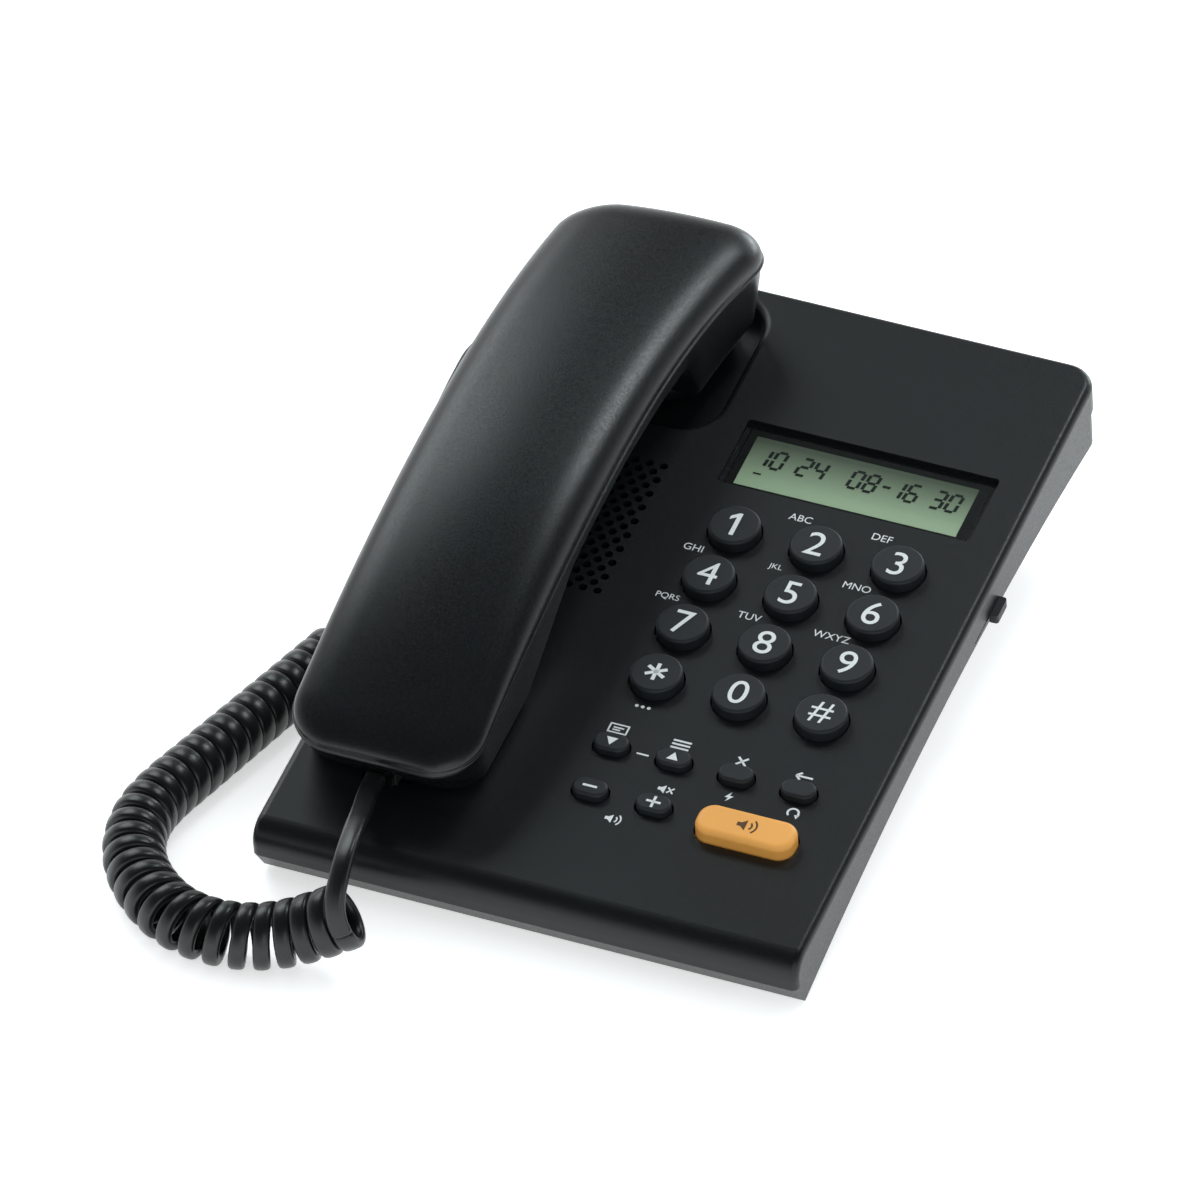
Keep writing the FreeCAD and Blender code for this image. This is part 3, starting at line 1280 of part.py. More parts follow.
def biarc(start, start_way, end, end_way):
    """Two tangent arcs from one point and direction to another."""
    across = end - start
    both = start_way + end_way
    a = 2 * (1 - start_way.dot(end_way))
    b = 2 * across.dot(both)
    length = (math.sqrt(b * b + 4 * a * across.dot(across)) - b) / (2 * a)
    first, last = start + start_way * length, end - end_way * length
    joint = (first + last) / 2
    arcs = []
    for low, corner, high in ((start, first, joint), (joint, last, end)):
        chord = (low + high) / 2
        height, half = corner.distanceToPoint(chord), low.distanceToPoint(chord)
        bulge = half * math.tan(math.atan2(height, half) / 2)
        arcs.append(Part.Arc(low, chord + (corner - chord) * (bulge / height), high).toShape())
    return arcs


class Curls:
    """The cord's curls: a helix of even pitch whose radius changes evenly along a middle line."""

    def __init__(self):
        line = Part.BSplineCurve()
        last = len(CURL_ROUTE) - 1
        line.interpolate([on_table(x, y, self.rest(n / last) + lift) for n, (x, y, lift) in enumerate(CURL_ROUTE)])
        self.line = line.toShape()
        self.turns = round(self.line.Length / D.curl_pitch.value) + 0.5
        self.pitch = self.line.Length / self.turns
        self.end = 2 * math.pi * self.turns

    def radius(self, share):
        return D.coil_front.value + (D.coil_back.value - D.coil_front.value) * share

    def rest(self, share):
        """Height of the middle line where the curls lie on the table."""
        return self.radius(share) + D.cord_radius.value + D.fit_gap.value

    def point(self, angle):
        share = min(max(angle / self.end, 0), 1)
        spot = self.line.getParameterByLength(share * self.line.Length)
        ahead = self.line.tangentAt(spot)
        side = UP.cross(ahead).normalize()
        top = ahead.cross(side)
        return self.line.valueAt(spot) + (side * math.cos(angle) - top * math.sin(angle)) * self.radius(share)

    def way(self, angle):
        """Direction of the wire, by a small difference that stays on the line."""
        low, high = max(angle - 0.001, 0), min(angle + 0.001, self.end)
        return (self.point(high) - self.point(low)).normalize()

    def wire(self):
        angles = [step * 2 * math.pi / CURL_STEPS for step in range(round(self.turns * CURL_STEPS) + 1)]
        edges = []
        for low, high in zip(angles, angles[1:]):
            edges += biarc(self.point(low), self.way(low), self.point(high), self.way(high))
        return Part.Wire(edges)


def least_gap(curls):
    """Smallest clear gap between neighbouring curls, measured on points of the wire's middle."""
    points = [curls.point(n * 2 * math.pi / GAP_POINTS) for n in range(int(curls.turns * GAP_POINTS))]
    best = min(points[i].distanceToPoint(points[j]) for i in range(len(points))
               for j in range(i + GAP_POINTS // 2, min(i + 2 * GAP_POINTS, len(points))))
    return best - 2 * D.cord_radius.value


def make_plug(label, x, y, z, role, inward):
    """A modular plug: seated in its jack, with its outer part showing."""
    body = new_body(label, x, y, z)
    sketch = new_sketch(body, role, -PLUG_OUT if inward else PLUG_OUT)
    half_wide, half_high = D.plug_width / 2, D.plug_height / 2
    box_outline(sketch, -half_wide, half_wide, -half_high, half_high)
    pad(body, sketch, D.plug_length, reverse=not inward)
    keep(body, label)


def make_cord():
    """The handset cord with its two plugs."""
    make_plug("plug_handset_end", D.handset_x, PLUG_FACE_Y, D.handset_jack_z, "XZ_Plane", False)
    make_plug("plug_base_end", D.reveal - HALF_WIDTH, D.side_jack_y, SIDE_JACK_Z, "YZ_Plane", True)
    curls = Curls()
    start, finish = curls.point(0), curls.point(curls.end)
    start_way, finish_way = curls.way(0), curls.way(curls.end)
    gap = least_gap(curls)
    print(f"curls: {curls.turns} turns, pitch {curls.pitch:.2f} mm, least gap {gap:.2f} mm")
    if gap < LEAST_GAP:
        raise RuntimeError("the curls touch each other")
    sweep(curls.wire(), "curly_cord")
    face = deck_point(D.handset_x, PLUG_FACE_Y - PLUG_OUT, D.handset_jack_z)
    out = deck_point(D.handset_x, PLUG_FACE_Y - PLUG_OUT - LEAD_PLUG_RUN, D.handset_jack_z)
    lead = [face, out, *(on_table(*spot) for spot in LEAD_ROUTE), start - start_way * LEAD_CURL_RUN, start]
    sweep(run_path(lead, "handset_lead"), "handset_lead")
    face = deck_point(D.reveal - HALF_WIDTH - PLUG_OUT, D.side_jack_y, SIDE_JACK_Z)
    out = face - FreeCAD.Vector(TAIL_PLUG_RUN, 0, 0)
    tail = [finish, finish + finish_way * TAIL_CURL_RUN, *(on_table(*spot) for spot in TAIL_ROUTE), out, face]
    sweep(run_path(tail, "cord_tail"), "cord_tail")


def main():
    make_upper_cabinet()
    make_lower_cabinet()
    make_desk_stand()
    make_feet()
    make_screws("cabinet_screws", BOSSES,
                -(D.boss_end + D.fit_gap + D.screw_web + D.head_thick), D.screw_web + D.fit_gap, D.screw_reach)
    make_display()
    make_board()
    make_mat()
    make_keys()
    make_hook()
    make_loudspeaker()
    make_microphone()
    make_ringer()
    make_jacks()
    make_top_shell()
    make_lower_shell()
    make_screws("handset_screws", HANDSET_SCREWS, D.handset_boss - D.screw_web - D.head_thick,
                D.screw_web + D.fit_gap, D.screw_reach)
    make_handset_insides()
    make_cord()
    doc.recompute()
    for thing in doc.Objects:
        if "Invalid" in thing.State or "Error" in thing.State:
            raise RuntimeError(f"{thing.Label} did not rebuild: {thing.State}")
    os.makedirs("parts", exist_ok=True)
    for thing in SUB_PARTS:
        if thing.Shape.isNull() or not thing.Shape.isValid():
            raise RuntimeError(f"{thing.Label} has no valid shape")
        thing.Shape.exportStep(f"parts/{thing.Label}.step")


main()
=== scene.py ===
import math

import bpy
import numpy as np
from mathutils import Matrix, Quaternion, Vector


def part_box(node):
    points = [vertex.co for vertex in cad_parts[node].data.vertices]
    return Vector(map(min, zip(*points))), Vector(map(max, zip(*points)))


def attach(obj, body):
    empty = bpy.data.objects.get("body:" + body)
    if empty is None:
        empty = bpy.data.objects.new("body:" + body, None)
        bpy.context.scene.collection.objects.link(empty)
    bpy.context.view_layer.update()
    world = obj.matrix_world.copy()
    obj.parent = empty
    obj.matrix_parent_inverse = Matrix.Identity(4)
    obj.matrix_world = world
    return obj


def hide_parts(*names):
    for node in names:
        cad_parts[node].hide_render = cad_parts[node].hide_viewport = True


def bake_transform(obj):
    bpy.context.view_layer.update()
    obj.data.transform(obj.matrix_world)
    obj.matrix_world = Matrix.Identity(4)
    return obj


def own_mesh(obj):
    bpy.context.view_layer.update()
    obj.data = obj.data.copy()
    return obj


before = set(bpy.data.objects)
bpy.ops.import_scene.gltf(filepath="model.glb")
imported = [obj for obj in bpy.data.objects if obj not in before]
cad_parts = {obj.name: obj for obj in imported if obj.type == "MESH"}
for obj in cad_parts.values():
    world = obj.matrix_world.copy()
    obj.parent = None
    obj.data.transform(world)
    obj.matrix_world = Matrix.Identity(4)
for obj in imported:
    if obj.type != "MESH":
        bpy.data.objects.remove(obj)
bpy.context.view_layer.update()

bl_info = {
    "name": "Corded Desk Phone",
    "version": (1, 0, 0),
    "blender": (4, 5, 0),
    "location": "View3D > Sidebar > Desk Phone",
    "description": "Dresses the packed desk phone: handset, cord, legends, display and finishes",
    "category": "Object",
}

MM = 0.001

# The deck's frame, as in the construction: x from the base's middle, y up the slope from the deck's
# front edge, z square to the deck. Lengths are in millimetres, but in metres on the stage.
SLOPE = math.radians(9.3)
FRONT_HEIGHT = 18.0
FRONT_ROUND = 6.0
DECK_BACK = 216.5
BACK_DEPTH = 22.0
SIDE_SHIFT = -1.05
BACK_SHIFT = -(FRONT_ROUND * (math.cos(SLOPE) + math.sin(SLOPE) - 1)
               + DECK_BACK * math.cos(SLOPE) + BACK_DEPTH * math.sin(SLOPE)) / 2

# Handset in the deck's frame: outline, top line and parting line
HANDSET_X = -46.2
HANDSET_HALF = 25.75
HANDSET_FRONT = 19.0
HANDSET_BACK = 213.5
HANDSET_APEX = 115.0
HANDSET_CORNER = 13.0
TOP_APEX = 34.9
TOP_FRONT = 17.6
TOP_BACK = 27.6
PART_HEIGHTS = ((19.0, 12.4), (115.0, 25.5), (213.5, 18.2))

# How the handset bears right, widens and leans round towards its ear end
FLARE_START = 112.0
FLARE_SHIFT = 6.6
FLARE_WIDEN = 2.4
FLARE_SHEAR = 0.07
FLARE_POWER = 2.8

# Upper shell; each point of its bead has its way out and its height as a share of the bead's size
LID_GAP = 0.35
CROWN_DROP = 2.8
SHOULDER_DROP = 5.6
SHOULDER_WIDTH = 10.5
SHOULDER_POWER = 2.5
RIM_HEIGHT = 1.0
LID_WALL = 2.2
LID_INNER = (0.93, 0.982)
LID_SEAM = 0.12
BEAD = 0.55
BEAD_REACH = 2.4
BEAD_POINTS = ((0.12, 2.0), (0.3, 1.6), (0.38, 1.0), (0.3, 0.4), (0.1, 0.0), (-1.6, 0.0))

# Lower shell; each ring of its wall has its share of the way down and its inset, and the underside
# has its heights along the handset
TRAY_GAP = 0.7
TRAY_CORNER = 12.5
TRAY_SEAM = 0.2
TRAY_INNER = (0.92, 0.98)
TRAY_INNER_DEPTH = 0.3
TRAY_TURN = 3.2
TRAY_LEAST_WALL = 1.0
LEAN_FRONT, LEAN_BACK, LEAN_SIDE = 6.2, 4.5, 1.2
LEAN_FRONT_RUN, LEAN_BACK_RUN = 40, 24
LEAN_POWER = 1.5
WALL_POINTS = ((0.0, 2.0), (0.0, 0.0), (0.06, 0.0), (0.25, 0.0), (0.5, 0.0), (0.75, 0.0),
               (0.94, 0.0))
UNDERSIDE = ((0, 0.5), (62, 0.5), (94, 14.7), (106, 16.0), (131, 17.0), (156, 16.0), (169, 14.7),
             (173.5, 0.5), (240, 0.5))
UNDERSIDE_SOFTENING = 5.0

# Caps of the handset: name, middle, half width, half length, corner and level of the face
CAPS = (("mouth_cap", 44.0, 16.0, 16.0, 15.9, -2.3), ("ear_cap", 191.0, 20.4, 16.9, 11.0, -5.4))
CAP_TURN = 1.6
CAP_EDGE = 1.0
CAP_TOP = 1.2
CAP_INNER = 0.97
SOUND_HOLES = 6
SOUND_RING = 5
HOLE_RADIUS = 1.15
HOLE_BEVEL = 0.3
HOLE_DEPTH = 1.4

# Keys in the deck's frame; a dial key has its node, figure, column, row and letters
COLUMNS = (5.0, 27.0, 49.0)
ROWS = (79.3, 97.3, 115.3, 133.3)
LEGENDS = (
    ("key_1", "1", 0, 3, ""), ("key_2", "2", 1, 3, "ABC"), ("key_3", "3", 2, 3, "DEF"),
    ("key_4", "4", 0, 2, "GHI"), ("key_5", "5", 1, 2, "JKL"), ("key_6", "6", 2, 2, "MNO"),
    ("key_7", "7", 0, 1, "PQRS"), ("key_8", "8", 1, 1, "TUV"), ("key_9", "9", 2, 1, "WXYZ"),
    ("key_star", "*", 0, 0, ""), ("key_0", "0", 1, 0, ""), ("key_hash", "#", 2, 0, ""),
)
FUNCTION_KEYS = ("scroll_down_key", "scroll_up_key", "flash_key", "redial_key")
FUNCTION_X = (2.6, 19.2, 35.8, 52.4)
FUNCTION_Y = 54.6
VOLUME_KEYS = ("volume_down_key", "volume_up_key")
VOLUME_X = (3.2, 20.1)
VOLUME_Y = 38.7
ORANGE_KEY = (45.4, 37.0)
KEY_TOP = 3.2
OVAL_TOP = 2.2
ORANGE_TOP = 4.0

# Printed marks: the outline of the figure 1 is in shares of a figure's height
ONE = ((-0.02, -0.5), (0.13, -0.5), (0.13, 0.5), (0.02, 0.5), (-0.23, 0.31), (-0.23, 0.15),
       (-0.02, 0.30))
HASH_SHARE = 0.9
STAR_ARM, STAR_WIDTH = 2.9, 1.0
LETTERS_X, LETTERS_Y = -8.0, 9.9
HORN_BODY = ((-1.9, -0.5), (-1.1, -0.5), (0, -1.4), (0, 1.4), (-1.1, 0.5), (-1.9, 0.5))
ORANGE_HORN = 1.25
THICK_LINE, SIGN_LINE, THIN_LINE = 0.7, 0.6, 0.45

# Keypad mat under the deck
MAT_FRONT, MAT_BACK = 32.7, 146.9
MAT_TOP, MAT_LOW = -6.1, -6.9
MAT_CORNER = 2.0
DOME_HEIGHT = 1.75
DOME_RADIUS, SMALL_DOME_RADIUS = 4.6, 2.2
DOME_TAPER = 0.12
DOME_ROUNDING = 0.3
DOME_SHOULDER = 0.8

# Display: places are from the window's middle, and a figure's strokes a to f run clockwise from its
# top, with g across its middle
WINDOW = (28.0, 160.4)
MASK_OUTER = (-32.6, -10.1, 32.6, 10.1)
MASK_INNER = (-30.4, -9.4, 29.6, 8.0)
MASK_LEVEL = -1.72
FIGURE_LEVEL = -1.76
FIGURES = "10 24  08-16 30"
FIGURES_X, FIGURES_Y = -28.0, -1.6
FIGURE_WIDTH, FIGURE_HEIGHT = 2.7, 6.0
FIGURE_LINE = 0.92
FIGURE_LEAN = 0.12
STROKE_GAP = 0.3
FIGURE_STEP, SPACE_STEP = 4.1, 2.9
DAY_MARK = (-27.0, -4.4)
DAY_MARK_LENGTH = 2.2
SEGMENTS = {
    "0": "abcdef", "1": "bc", "2": "abged", "3": "abgcd", "4": "fgbc", "5": "afgcd", "6": "afgedc",
    "7": "abc", "8": "abcdefg", "9": "abcdfg", "-": "g", " ": "",
}

# Cord routes, measured from the deck's front edge and the table, as in the construction: the curls'
# middle line with its lift off the table, the lead and tail with their heights
COIL_FRONT = 7.2
COIL_BACK = 5.7
COIL_REST = 1.9
CURL_TURNS = 31.5
CURL_GAP = 0.1
SECTION_POWER = 2 / 3
SHEATH_STEP = 0.01
POINTS_PER_TURN = 40
LEAD_POINTS = 110
TAIL_POINTS = 200
CURL_ROUTE = (
    (-37.4, -21.8, 8.3), (-45.9, -24, 3.4), (-55.6, -27.4, 0.4), (-65.7, -30.2, 0),
    (-76.7, -29.5, 0), (-86, -25, 0), (-94.9, -16.8, 0), (-101, -7, 0),
    (-103.7, 4.7, 0), (-102.8, 15.5, 0), (-99.8, 27.5, 0), (-96.8, 40, 0),
    (-93.8, 52.5, 0), (-90.8, 65, 0), (-88, 77, 0), (-85.5, 88, 0),
)
LEAD_ROUTE = ((-43.3, 3.4, 30.6), (-40.6, -9.3, 34), (-38.5, -22, 33))
TAIL_ROUTE = (
    (-81, 94.6, 19.9), (-82.6, 108.4, 21.6), (-84.6, 126, 23.2), (-86.4, 143.6, 25.4),
    (-87.4, 159.6, 28.8), (-87.2, 173.4, 33), (-86.6, 184.3, 36),
)
LEAD_FACE = (HANDSET_X, 20.5, 7.0)
TAIL_FACE = (-74.0, 192.0, -12.7)
LEAD_PLUG_RUN = 6.0
LEAD_CURL_RUN = 6.6
TAIL_CURL_RUN = 5.4
TAIL_PLUG_RUN = 5.4

# Stage: camera, surroundings and floor; a lamp has its name, place, size and power
CAMERA_PLACE = (1.00286, -2.60167, 2.17468)
CAMERA_WAY = (-0.29104, 0.73770, -0.60919)
CAMERA_ROLL = 0.0061
CAMERA_REACH = 20.0
FOCAL_PIXELS = 14014.2
PHOTO_PIXELS = 1200
SENSOR = 36.0
WHITE = (1, 1, 1, 1)
ROOM_COLOUR = (0.93, 0.985, 1.0, 1)
ROOM_LIGHT = 0.8
CEILING = 0.03
BACKDROP_TOP = 0.10
BACKDROP_FADE = 0.60
FLOOR_COLOUR = (0.9, 0.9, 0.9, 1)
FLOOR_GLOW = 0.55
FLOOR_REACH = 6.0
FLOOR_LEVEL = -0.0001
LAMP_AIM = (0, 0, 0.04)
LAMP_COLOUR = (0.90, 0.98, 1.0)
LAMPS = (
    ("left_softbox", (-0.86, 0.62, 0.88), (0.7, 0.7), 5.5),
    ("top_softbox", (0.14, 0.62, 0.92), (0.28, 0.28), 2.4),
    ("back_softbox", (0.35, 1.6, 0.40), (0.7, 0.4), 7.0),
    ("front_fill", (0.9, -1.7, 0.9), (1.0, 1.0), 4.0),
)


class PhoneSizes(bpy.types.PropertyGroup):
    """Sizes of the dressed pieces that a user may change."""

    wire_width: bpy.props.FloatProperty(
        name="Wire Width", description="Width of the flat cord",
        default=0.0053, min=0.003, max=0.006, unit="LENGTH")
    wire_thickness: bpy.props.FloatProperty(
        name="Wire Thickness", description="Thickness of the flat cord",
        default=0.0030, min=0.002, max=0.004, unit="LENGTH")
    digit_height: bpy.props.FloatProperty(
        name="Digit Height", description="Height of the figures on the dial keys",
        default=0.0078, min=0.004, max=0.010, unit="LENGTH")
    letter_height: bpy.props.FloatProperty(
        name="Letter Height", description="Height of the letters by the dial keys",
        default=0.00225, min=0.001, max=0.004, unit="LENGTH")
    print_lift: bpy.props.FloatProperty(
        name="Print Lift", description="Height of printed marks above what they are printed on",
        default=0.00004, min=0.00002, max=0.0002, unit="LENGTH")


class PhoneColours(bpy.types.PropertyGroup):
    """Colours of the phone's finishes."""

    cabinet: bpy.props.FloatVectorProperty(
        name="Cabinet", description="Moulded cabinet and handset",
        subtype="COLOR", default=(0.0034, 0.0049, 0.0058))
    key: bpy.props.FloatVectorProperty(
        name="Keys", description="Dial and function keys",
        subtype="COLOR", default=(0.0100, 0.0130, 0.0150))
    speaker_key: bpy.props.FloatVectorProperty(
        name="Speakerphone Key", description="Key of the loudspeaker",
        subtype="COLOR", default=(0.79, 0.36, 0.075))
    legend: bpy.props.FloatVectorProperty(
        name="Legends", description="Printed figures and marks",
        subtype="COLOR", default=(0.66, 0.68, 0.68))
    display: bpy.props.FloatVectorProperty(
        name="Display", description="Lit ground of the display",
        subtype="COLOR", default=(0.42, 0.58, 0.37))
    cord: bpy.props.FloatVectorProperty(
        name="Cord", description="Handset cord",
        subtype="COLOR", default=(0.0050, 0.0062, 0.0068))


def sizes():
    """The sizes that the panel shows."""
    return bpy.context.scene.phone_sizes


def colours():
    """The colours that the panel shows."""
    return bpy.context.scene.phone_colours


# Places
def deck(points):
    """World metres of points in the deck's frame: turned by the slope about X, then moved."""
    points = np.asarray(points, float)
    x, y, z = points[..., 0], points[..., 1], points[..., 2]
    c, s = math.cos(SLOPE), math.sin(SLOPE)
    ahead, up = y * c - z * s + BACK_SHIFT, FRONT_HEIGHT + y * s + z * c
    return np.stack([x + SIDE_SHIFT, ahead, up], -1) * MM


def table(points):
    """World metres of points measured from the deck's front edge and the table."""
    return (np.asarray(points, float) + (SIDE_SHIFT, BACK_SHIFT, 0)) * MM


def unit(vectors):
    """The same directions with a length of one."""
    return vectors / np.linalg.norm(vectors, axis=-1, keepdims=True)


# Meshes
def quads(rows, cols, wrap=False, start=0):
    """Faces of a grid of rows by cols points, numbered row by row from start; wrap joins the last
    column to the first."""
    across = cols if wrap else cols - 1
    i, j = np.meshgrid(np.arange(rows - 1), np.arange(across), indexing="ij")
    k = (j + 1) % cols
    faces = np.stack([i * cols + j, i * cols + k, (i + 1) * cols + k, (i + 1) * cols + j], -1)
    return faces.reshape(-1, 4) + start


def make_piece(name, points, faces, body, slot, material, smooth=True):
    """A mesh object in the phone's frame, with its finish, that rides on a body where one is given;
    slot is not used."""
    mesh = bpy.data.meshes.new(name)
    mesh.from_pydata(np.asarray(points, float).tolist(), [], [tuple(f) for f in faces])
    mesh.validate()
    mesh.polygons.foreach_set("use_smooth", np.full(len(mesh.polygons), smooth))
    mesh.materials.append(material)
    mesh.update()
    piece = bpy.data.objects.new(name, mesh)
    bpy.context.scene.collection.objects.link(piece)
    if body:
        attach(piece, body)
    return piece


def turned_out(points, faces):
    """The faces of one closed shape, all reversed if its signed volume is negative."""
    a, b, c, d = (points[faces[:, n]] for n in range(4))
    volume = (np.cross(a, b) * c).sum() + (np.cross(a, c) * d).sum()
    return faces[:, ::-1] if volume < 0 else faces


def curve_mesh(holder):
    """Points and faces that a curve or text object is drawn with; the object is removed."""
    bpy.context.scene.collection.objects.link(holder)
    bpy.context.view_layer.update()
    drawn = holder.evaluated_get(bpy.context.evaluated_depsgraph_get())
    mesh = bpy.data.meshes.new_from_object(drawn)
    points = np.zeros(len(mesh.vertices) * 3)
    mesh.vertices.foreach_get("co", points)
    faces = [tuple(p.vertices) for p in mesh.polygons]
    bpy.data.objects.remove(holder)
    bpy.data.meshes.remove(mesh)
    return points.reshape(-1, 3), faces


# Finishes; most of a noise lies between two values
NOISE_LOW, NOISE_HIGH = 0.3, 0.7


class Nodes:
    """The node tree of a material or world with its main shader, built by short calls."""

    def __init__(self, owner, shader="Principled BSDF"):
        owner.use_nodes = True
        self.owner = owner
        self.tree = owner.node_tree
        self.shader = self.tree.nodes[shader]

    def add(self, kind, **values):
        """A new node, whose values are its properties or else its inputs."""
        node = self.tree.nodes.new(kind)
        for key, value in values.items():
            if hasattr(node, key):
                setattr(node, key, value)
            else:
                node.inputs[key.replace("_", " ").title()].default_value = value
        return node

    def link(self, source, target):
        """Joins an output to an input."""
        self.tree.links.new(source, target)

    def set(self, socket, value):
        """Gives an input of the main shader a value, or links an output to it."""
        target = self.shader.inputs[socket]
        if isinstance(value, bpy.types.NodeSocket):
            self.link(value, target)
        else:
            target.default_value = value

    def place(self, kind="Object"):
        """Coordinates of a kind, all from one node."""
        node = self.tree.nodes.get("Texture Coordinate") or self.add("ShaderNodeTexCoord")
        return node.outputs[kind]

    def height(self, place):
        """The upward part of coordinates."""
        node = self.add("ShaderNodeSeparateXYZ")
        self.link(place, node.inputs[0])
        return node.outputs["Z"]

    def noise(self, scale, detail=2.0, roughness=0.5, place=None):
        """Soft noise on the piece, or on the coordinates given."""
        node = self.add("ShaderNodeTexNoise", scale=scale, detail=detail, roughness=roughness)
        self.link(place or self.place(), node.inputs["Vector"])
        return node.outputs["Fac"]

    def spread(self, source, low, high, start=NOISE_LOW, end=NOISE_HIGH, **values):
        """A source between start and end, carried over to low and high."""
        node = self.add("ShaderNodeMapRange", **values)
        for index, value in enumerate((start, end, low, high), 1):
            node.inputs[index].default_value = value
        self.link(source, node.inputs[0])
        return node.outputs[0]

    def blend(self, source, first, last, start=NOISE_LOW, end=NOISE_HIGH):
        """A source between start and end, as a colour between the first and the last."""
        node = self.add("ShaderNodeValToRGB")
        for stop, at, colour in zip(node.color_ramp.elements, (start, end), (first, last)):
            stop.position = at
            stop.color = (*colour, 1)
        self.link(source, node.inputs[0])
        return node.outputs[0]

    def bump(self, source, strength, distance):
        """A normal raised by a source."""
        node = self.add("ShaderNodeBump", strength=strength, distance=distance)
        self.link(source, node.inputs["Height"])
        return node.outputs["Normal"]

    def larger(self, a, b):
        """The larger of two values."""
        node = self.add("ShaderNodeMath", operation="MAXIMUM")
        self.link(a, node.inputs[0])
        self.link(b, node.inputs[1])
        return node.outputs[0]

    def sight(self):
        """Whether a ray is the camera's, and whether it is the camera's, a gloss's or a glass's."""
        path = self.add("ShaderNodeLightPath")
        camera = path.outputs["Is Camera Ray"]
        passed_on = self.larger(path.outputs["Is Glossy Ray"], path.outputs["Is Transmission Ray"])
        return camera, self.larger(camera, passed_on)


def material_nodes(name):
    """The nodes of a new material."""
    return Nodes(bpy.data.materials.new(name))


def shade(colour, factor):
    """A colour times a factor, with no channel above one."""
    return tuple(min(1.0, c * factor) for c in colour)


def moulded(name, colour, rough, grain, depth, strength, specular, metallic, vary):
    """Moulded or cast surface: fine grain in the bump and the gloss, with slow changes of colour.
    """
    nodes = material_nodes(name)
    fine = nodes.noise(grain, detail=3.0, roughness=0.6)
    slow = nodes.noise(38.0, detail=3.0)
    nodes.set("Base Color", nodes.blend(slow, shade(colour, 1 - vary), shade(colour, 1 + vary)))
    nodes.set("Roughness", nodes.spread(fine, rough - 0.05, rough + 0.07))
    nodes.set("Normal", nodes.bump(fine, strength, depth * MM))
    nodes.set("Specular IOR Level", specular)
    nodes.set("Metallic", metallic)
    return nodes.owner


def printed(name, colour):
    """Ink: a thin film with a slight mottle."""
    nodes = material_nodes(name)
    mottle = nodes.noise(2200.0)
    nodes.set("Base Color", nodes.blend(mottle, shade(colour, 0.9), shade(colour, 1.06)))
    nodes.set("Roughness", nodes.spread(mottle, 0.45, 0.6))
    nodes.set("Specular IOR Level", 0.3)
    return nodes.owner


def clear_plastic(name, colour, rough):
    """Clear moulded plastic with faint flow marks."""
    nodes = material_nodes(name)
    flow = nodes.noise(60.0)
    nodes.set("Base Color", nodes.blend(flow, shade(colour, 0.96), shade(colour, 1.0)))
    nodes.set("Roughness", nodes.spread(flow, rough, rough + 0.05))
    nodes.set("Transmission Weight", 1.0)
    nodes.set("IOR", 1.46)
    return nodes.owner


def dark_window(name, colour):
    """Thin smoked pane, mostly clear to what lies under it, with flow marks in its gloss."""
    nodes = material_nodes(name)
    flow = nodes.noise(60.0)
    nodes.set("Base Color", nodes.blend(flow, shade(colour, 0.8), shade(colour, 1.2)))
    nodes.set("Roughness", nodes.spread(flow, 0.06, 0.11))
    nodes.set("Alpha", 0.12)
    return nodes.owner


def display_ground(name, colour):
    """Reflective display: green ground with a fine dot grain, and painted shade of the window's
    recess that darkens it towards its upper edge.
    """
    nodes = material_nodes(name)
    grain = nodes.noise(2600.0, detail=1.0)
    low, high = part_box("display_glass")
    rise = nodes.spread(nodes.height(nodes.place()), 0.0, 1.0, low.z, high.z)
    mixed = nodes.add("ShaderNodeMixRGB", blend_type="MULTIPLY")
    mixed.inputs[0].default_value = 1.0
    # Painted shade: the ground falls from 1.1 to 0.22 of its colour up the display, standing in for
    # the shadow that the window's recess casts on its upper part.
    painted_recess_shade = nodes.blend(rise, shade(colour, 1.1), shade(colour, 0.22), start=0.42, end=0.9)
    nodes.link(painted_recess_shade, mixed.inputs[1])
    nodes.link(nodes.blend(grain, (0.93, 0.93, 0.93), (1, 1, 1)), mixed.inputs[2])
    nodes.set("Base Color", mixed.outputs[0])
    nodes.set("Roughness", nodes.spread(grain, 0.35, 0.5))
    return nodes.owner


def circuit_board(name):
    """Green solder mask over a grid of copper tracks."""
    nodes = material_nodes(name)
    tracks = nodes.add("ShaderNodeTexBrick", scale=140.0, mortar_size=0.03)
    for socket, colour in (("Color1", (0.015, 0.11, 0.04)), ("Color2", (0.02, 0.14, 0.05)),
                           ("Mortar", (0.03, 0.2, 0.07))):
        tracks.inputs[socket].default_value = (*colour, 1)
    nodes.link(nodes.place(), tracks.inputs["Vector"])
    nodes.set("Base Color", tracks.outputs["Color"])
    nodes.set("Roughness", nodes.spread(nodes.noise(300.0), 0.3, 0.5))
    return nodes.owner


def paper_cone(name):
    """Pressed paper with a fibre mottle."""
    nodes = material_nodes(name)
    fibre = nodes.noise(900.0, detail=6.0, roughness=0.7)
    nodes.set("Base Color", nodes.blend(fibre, (0.02, 0.02, 0.02), (0.06, 0.058, 0.055)))
    nodes.set("Roughness", nodes.spread(fibre, 0.75, 0.95))
    nodes.set("Normal", nodes.bump(fibre, 0.5, 0.2 * MM))
    return nodes.owner


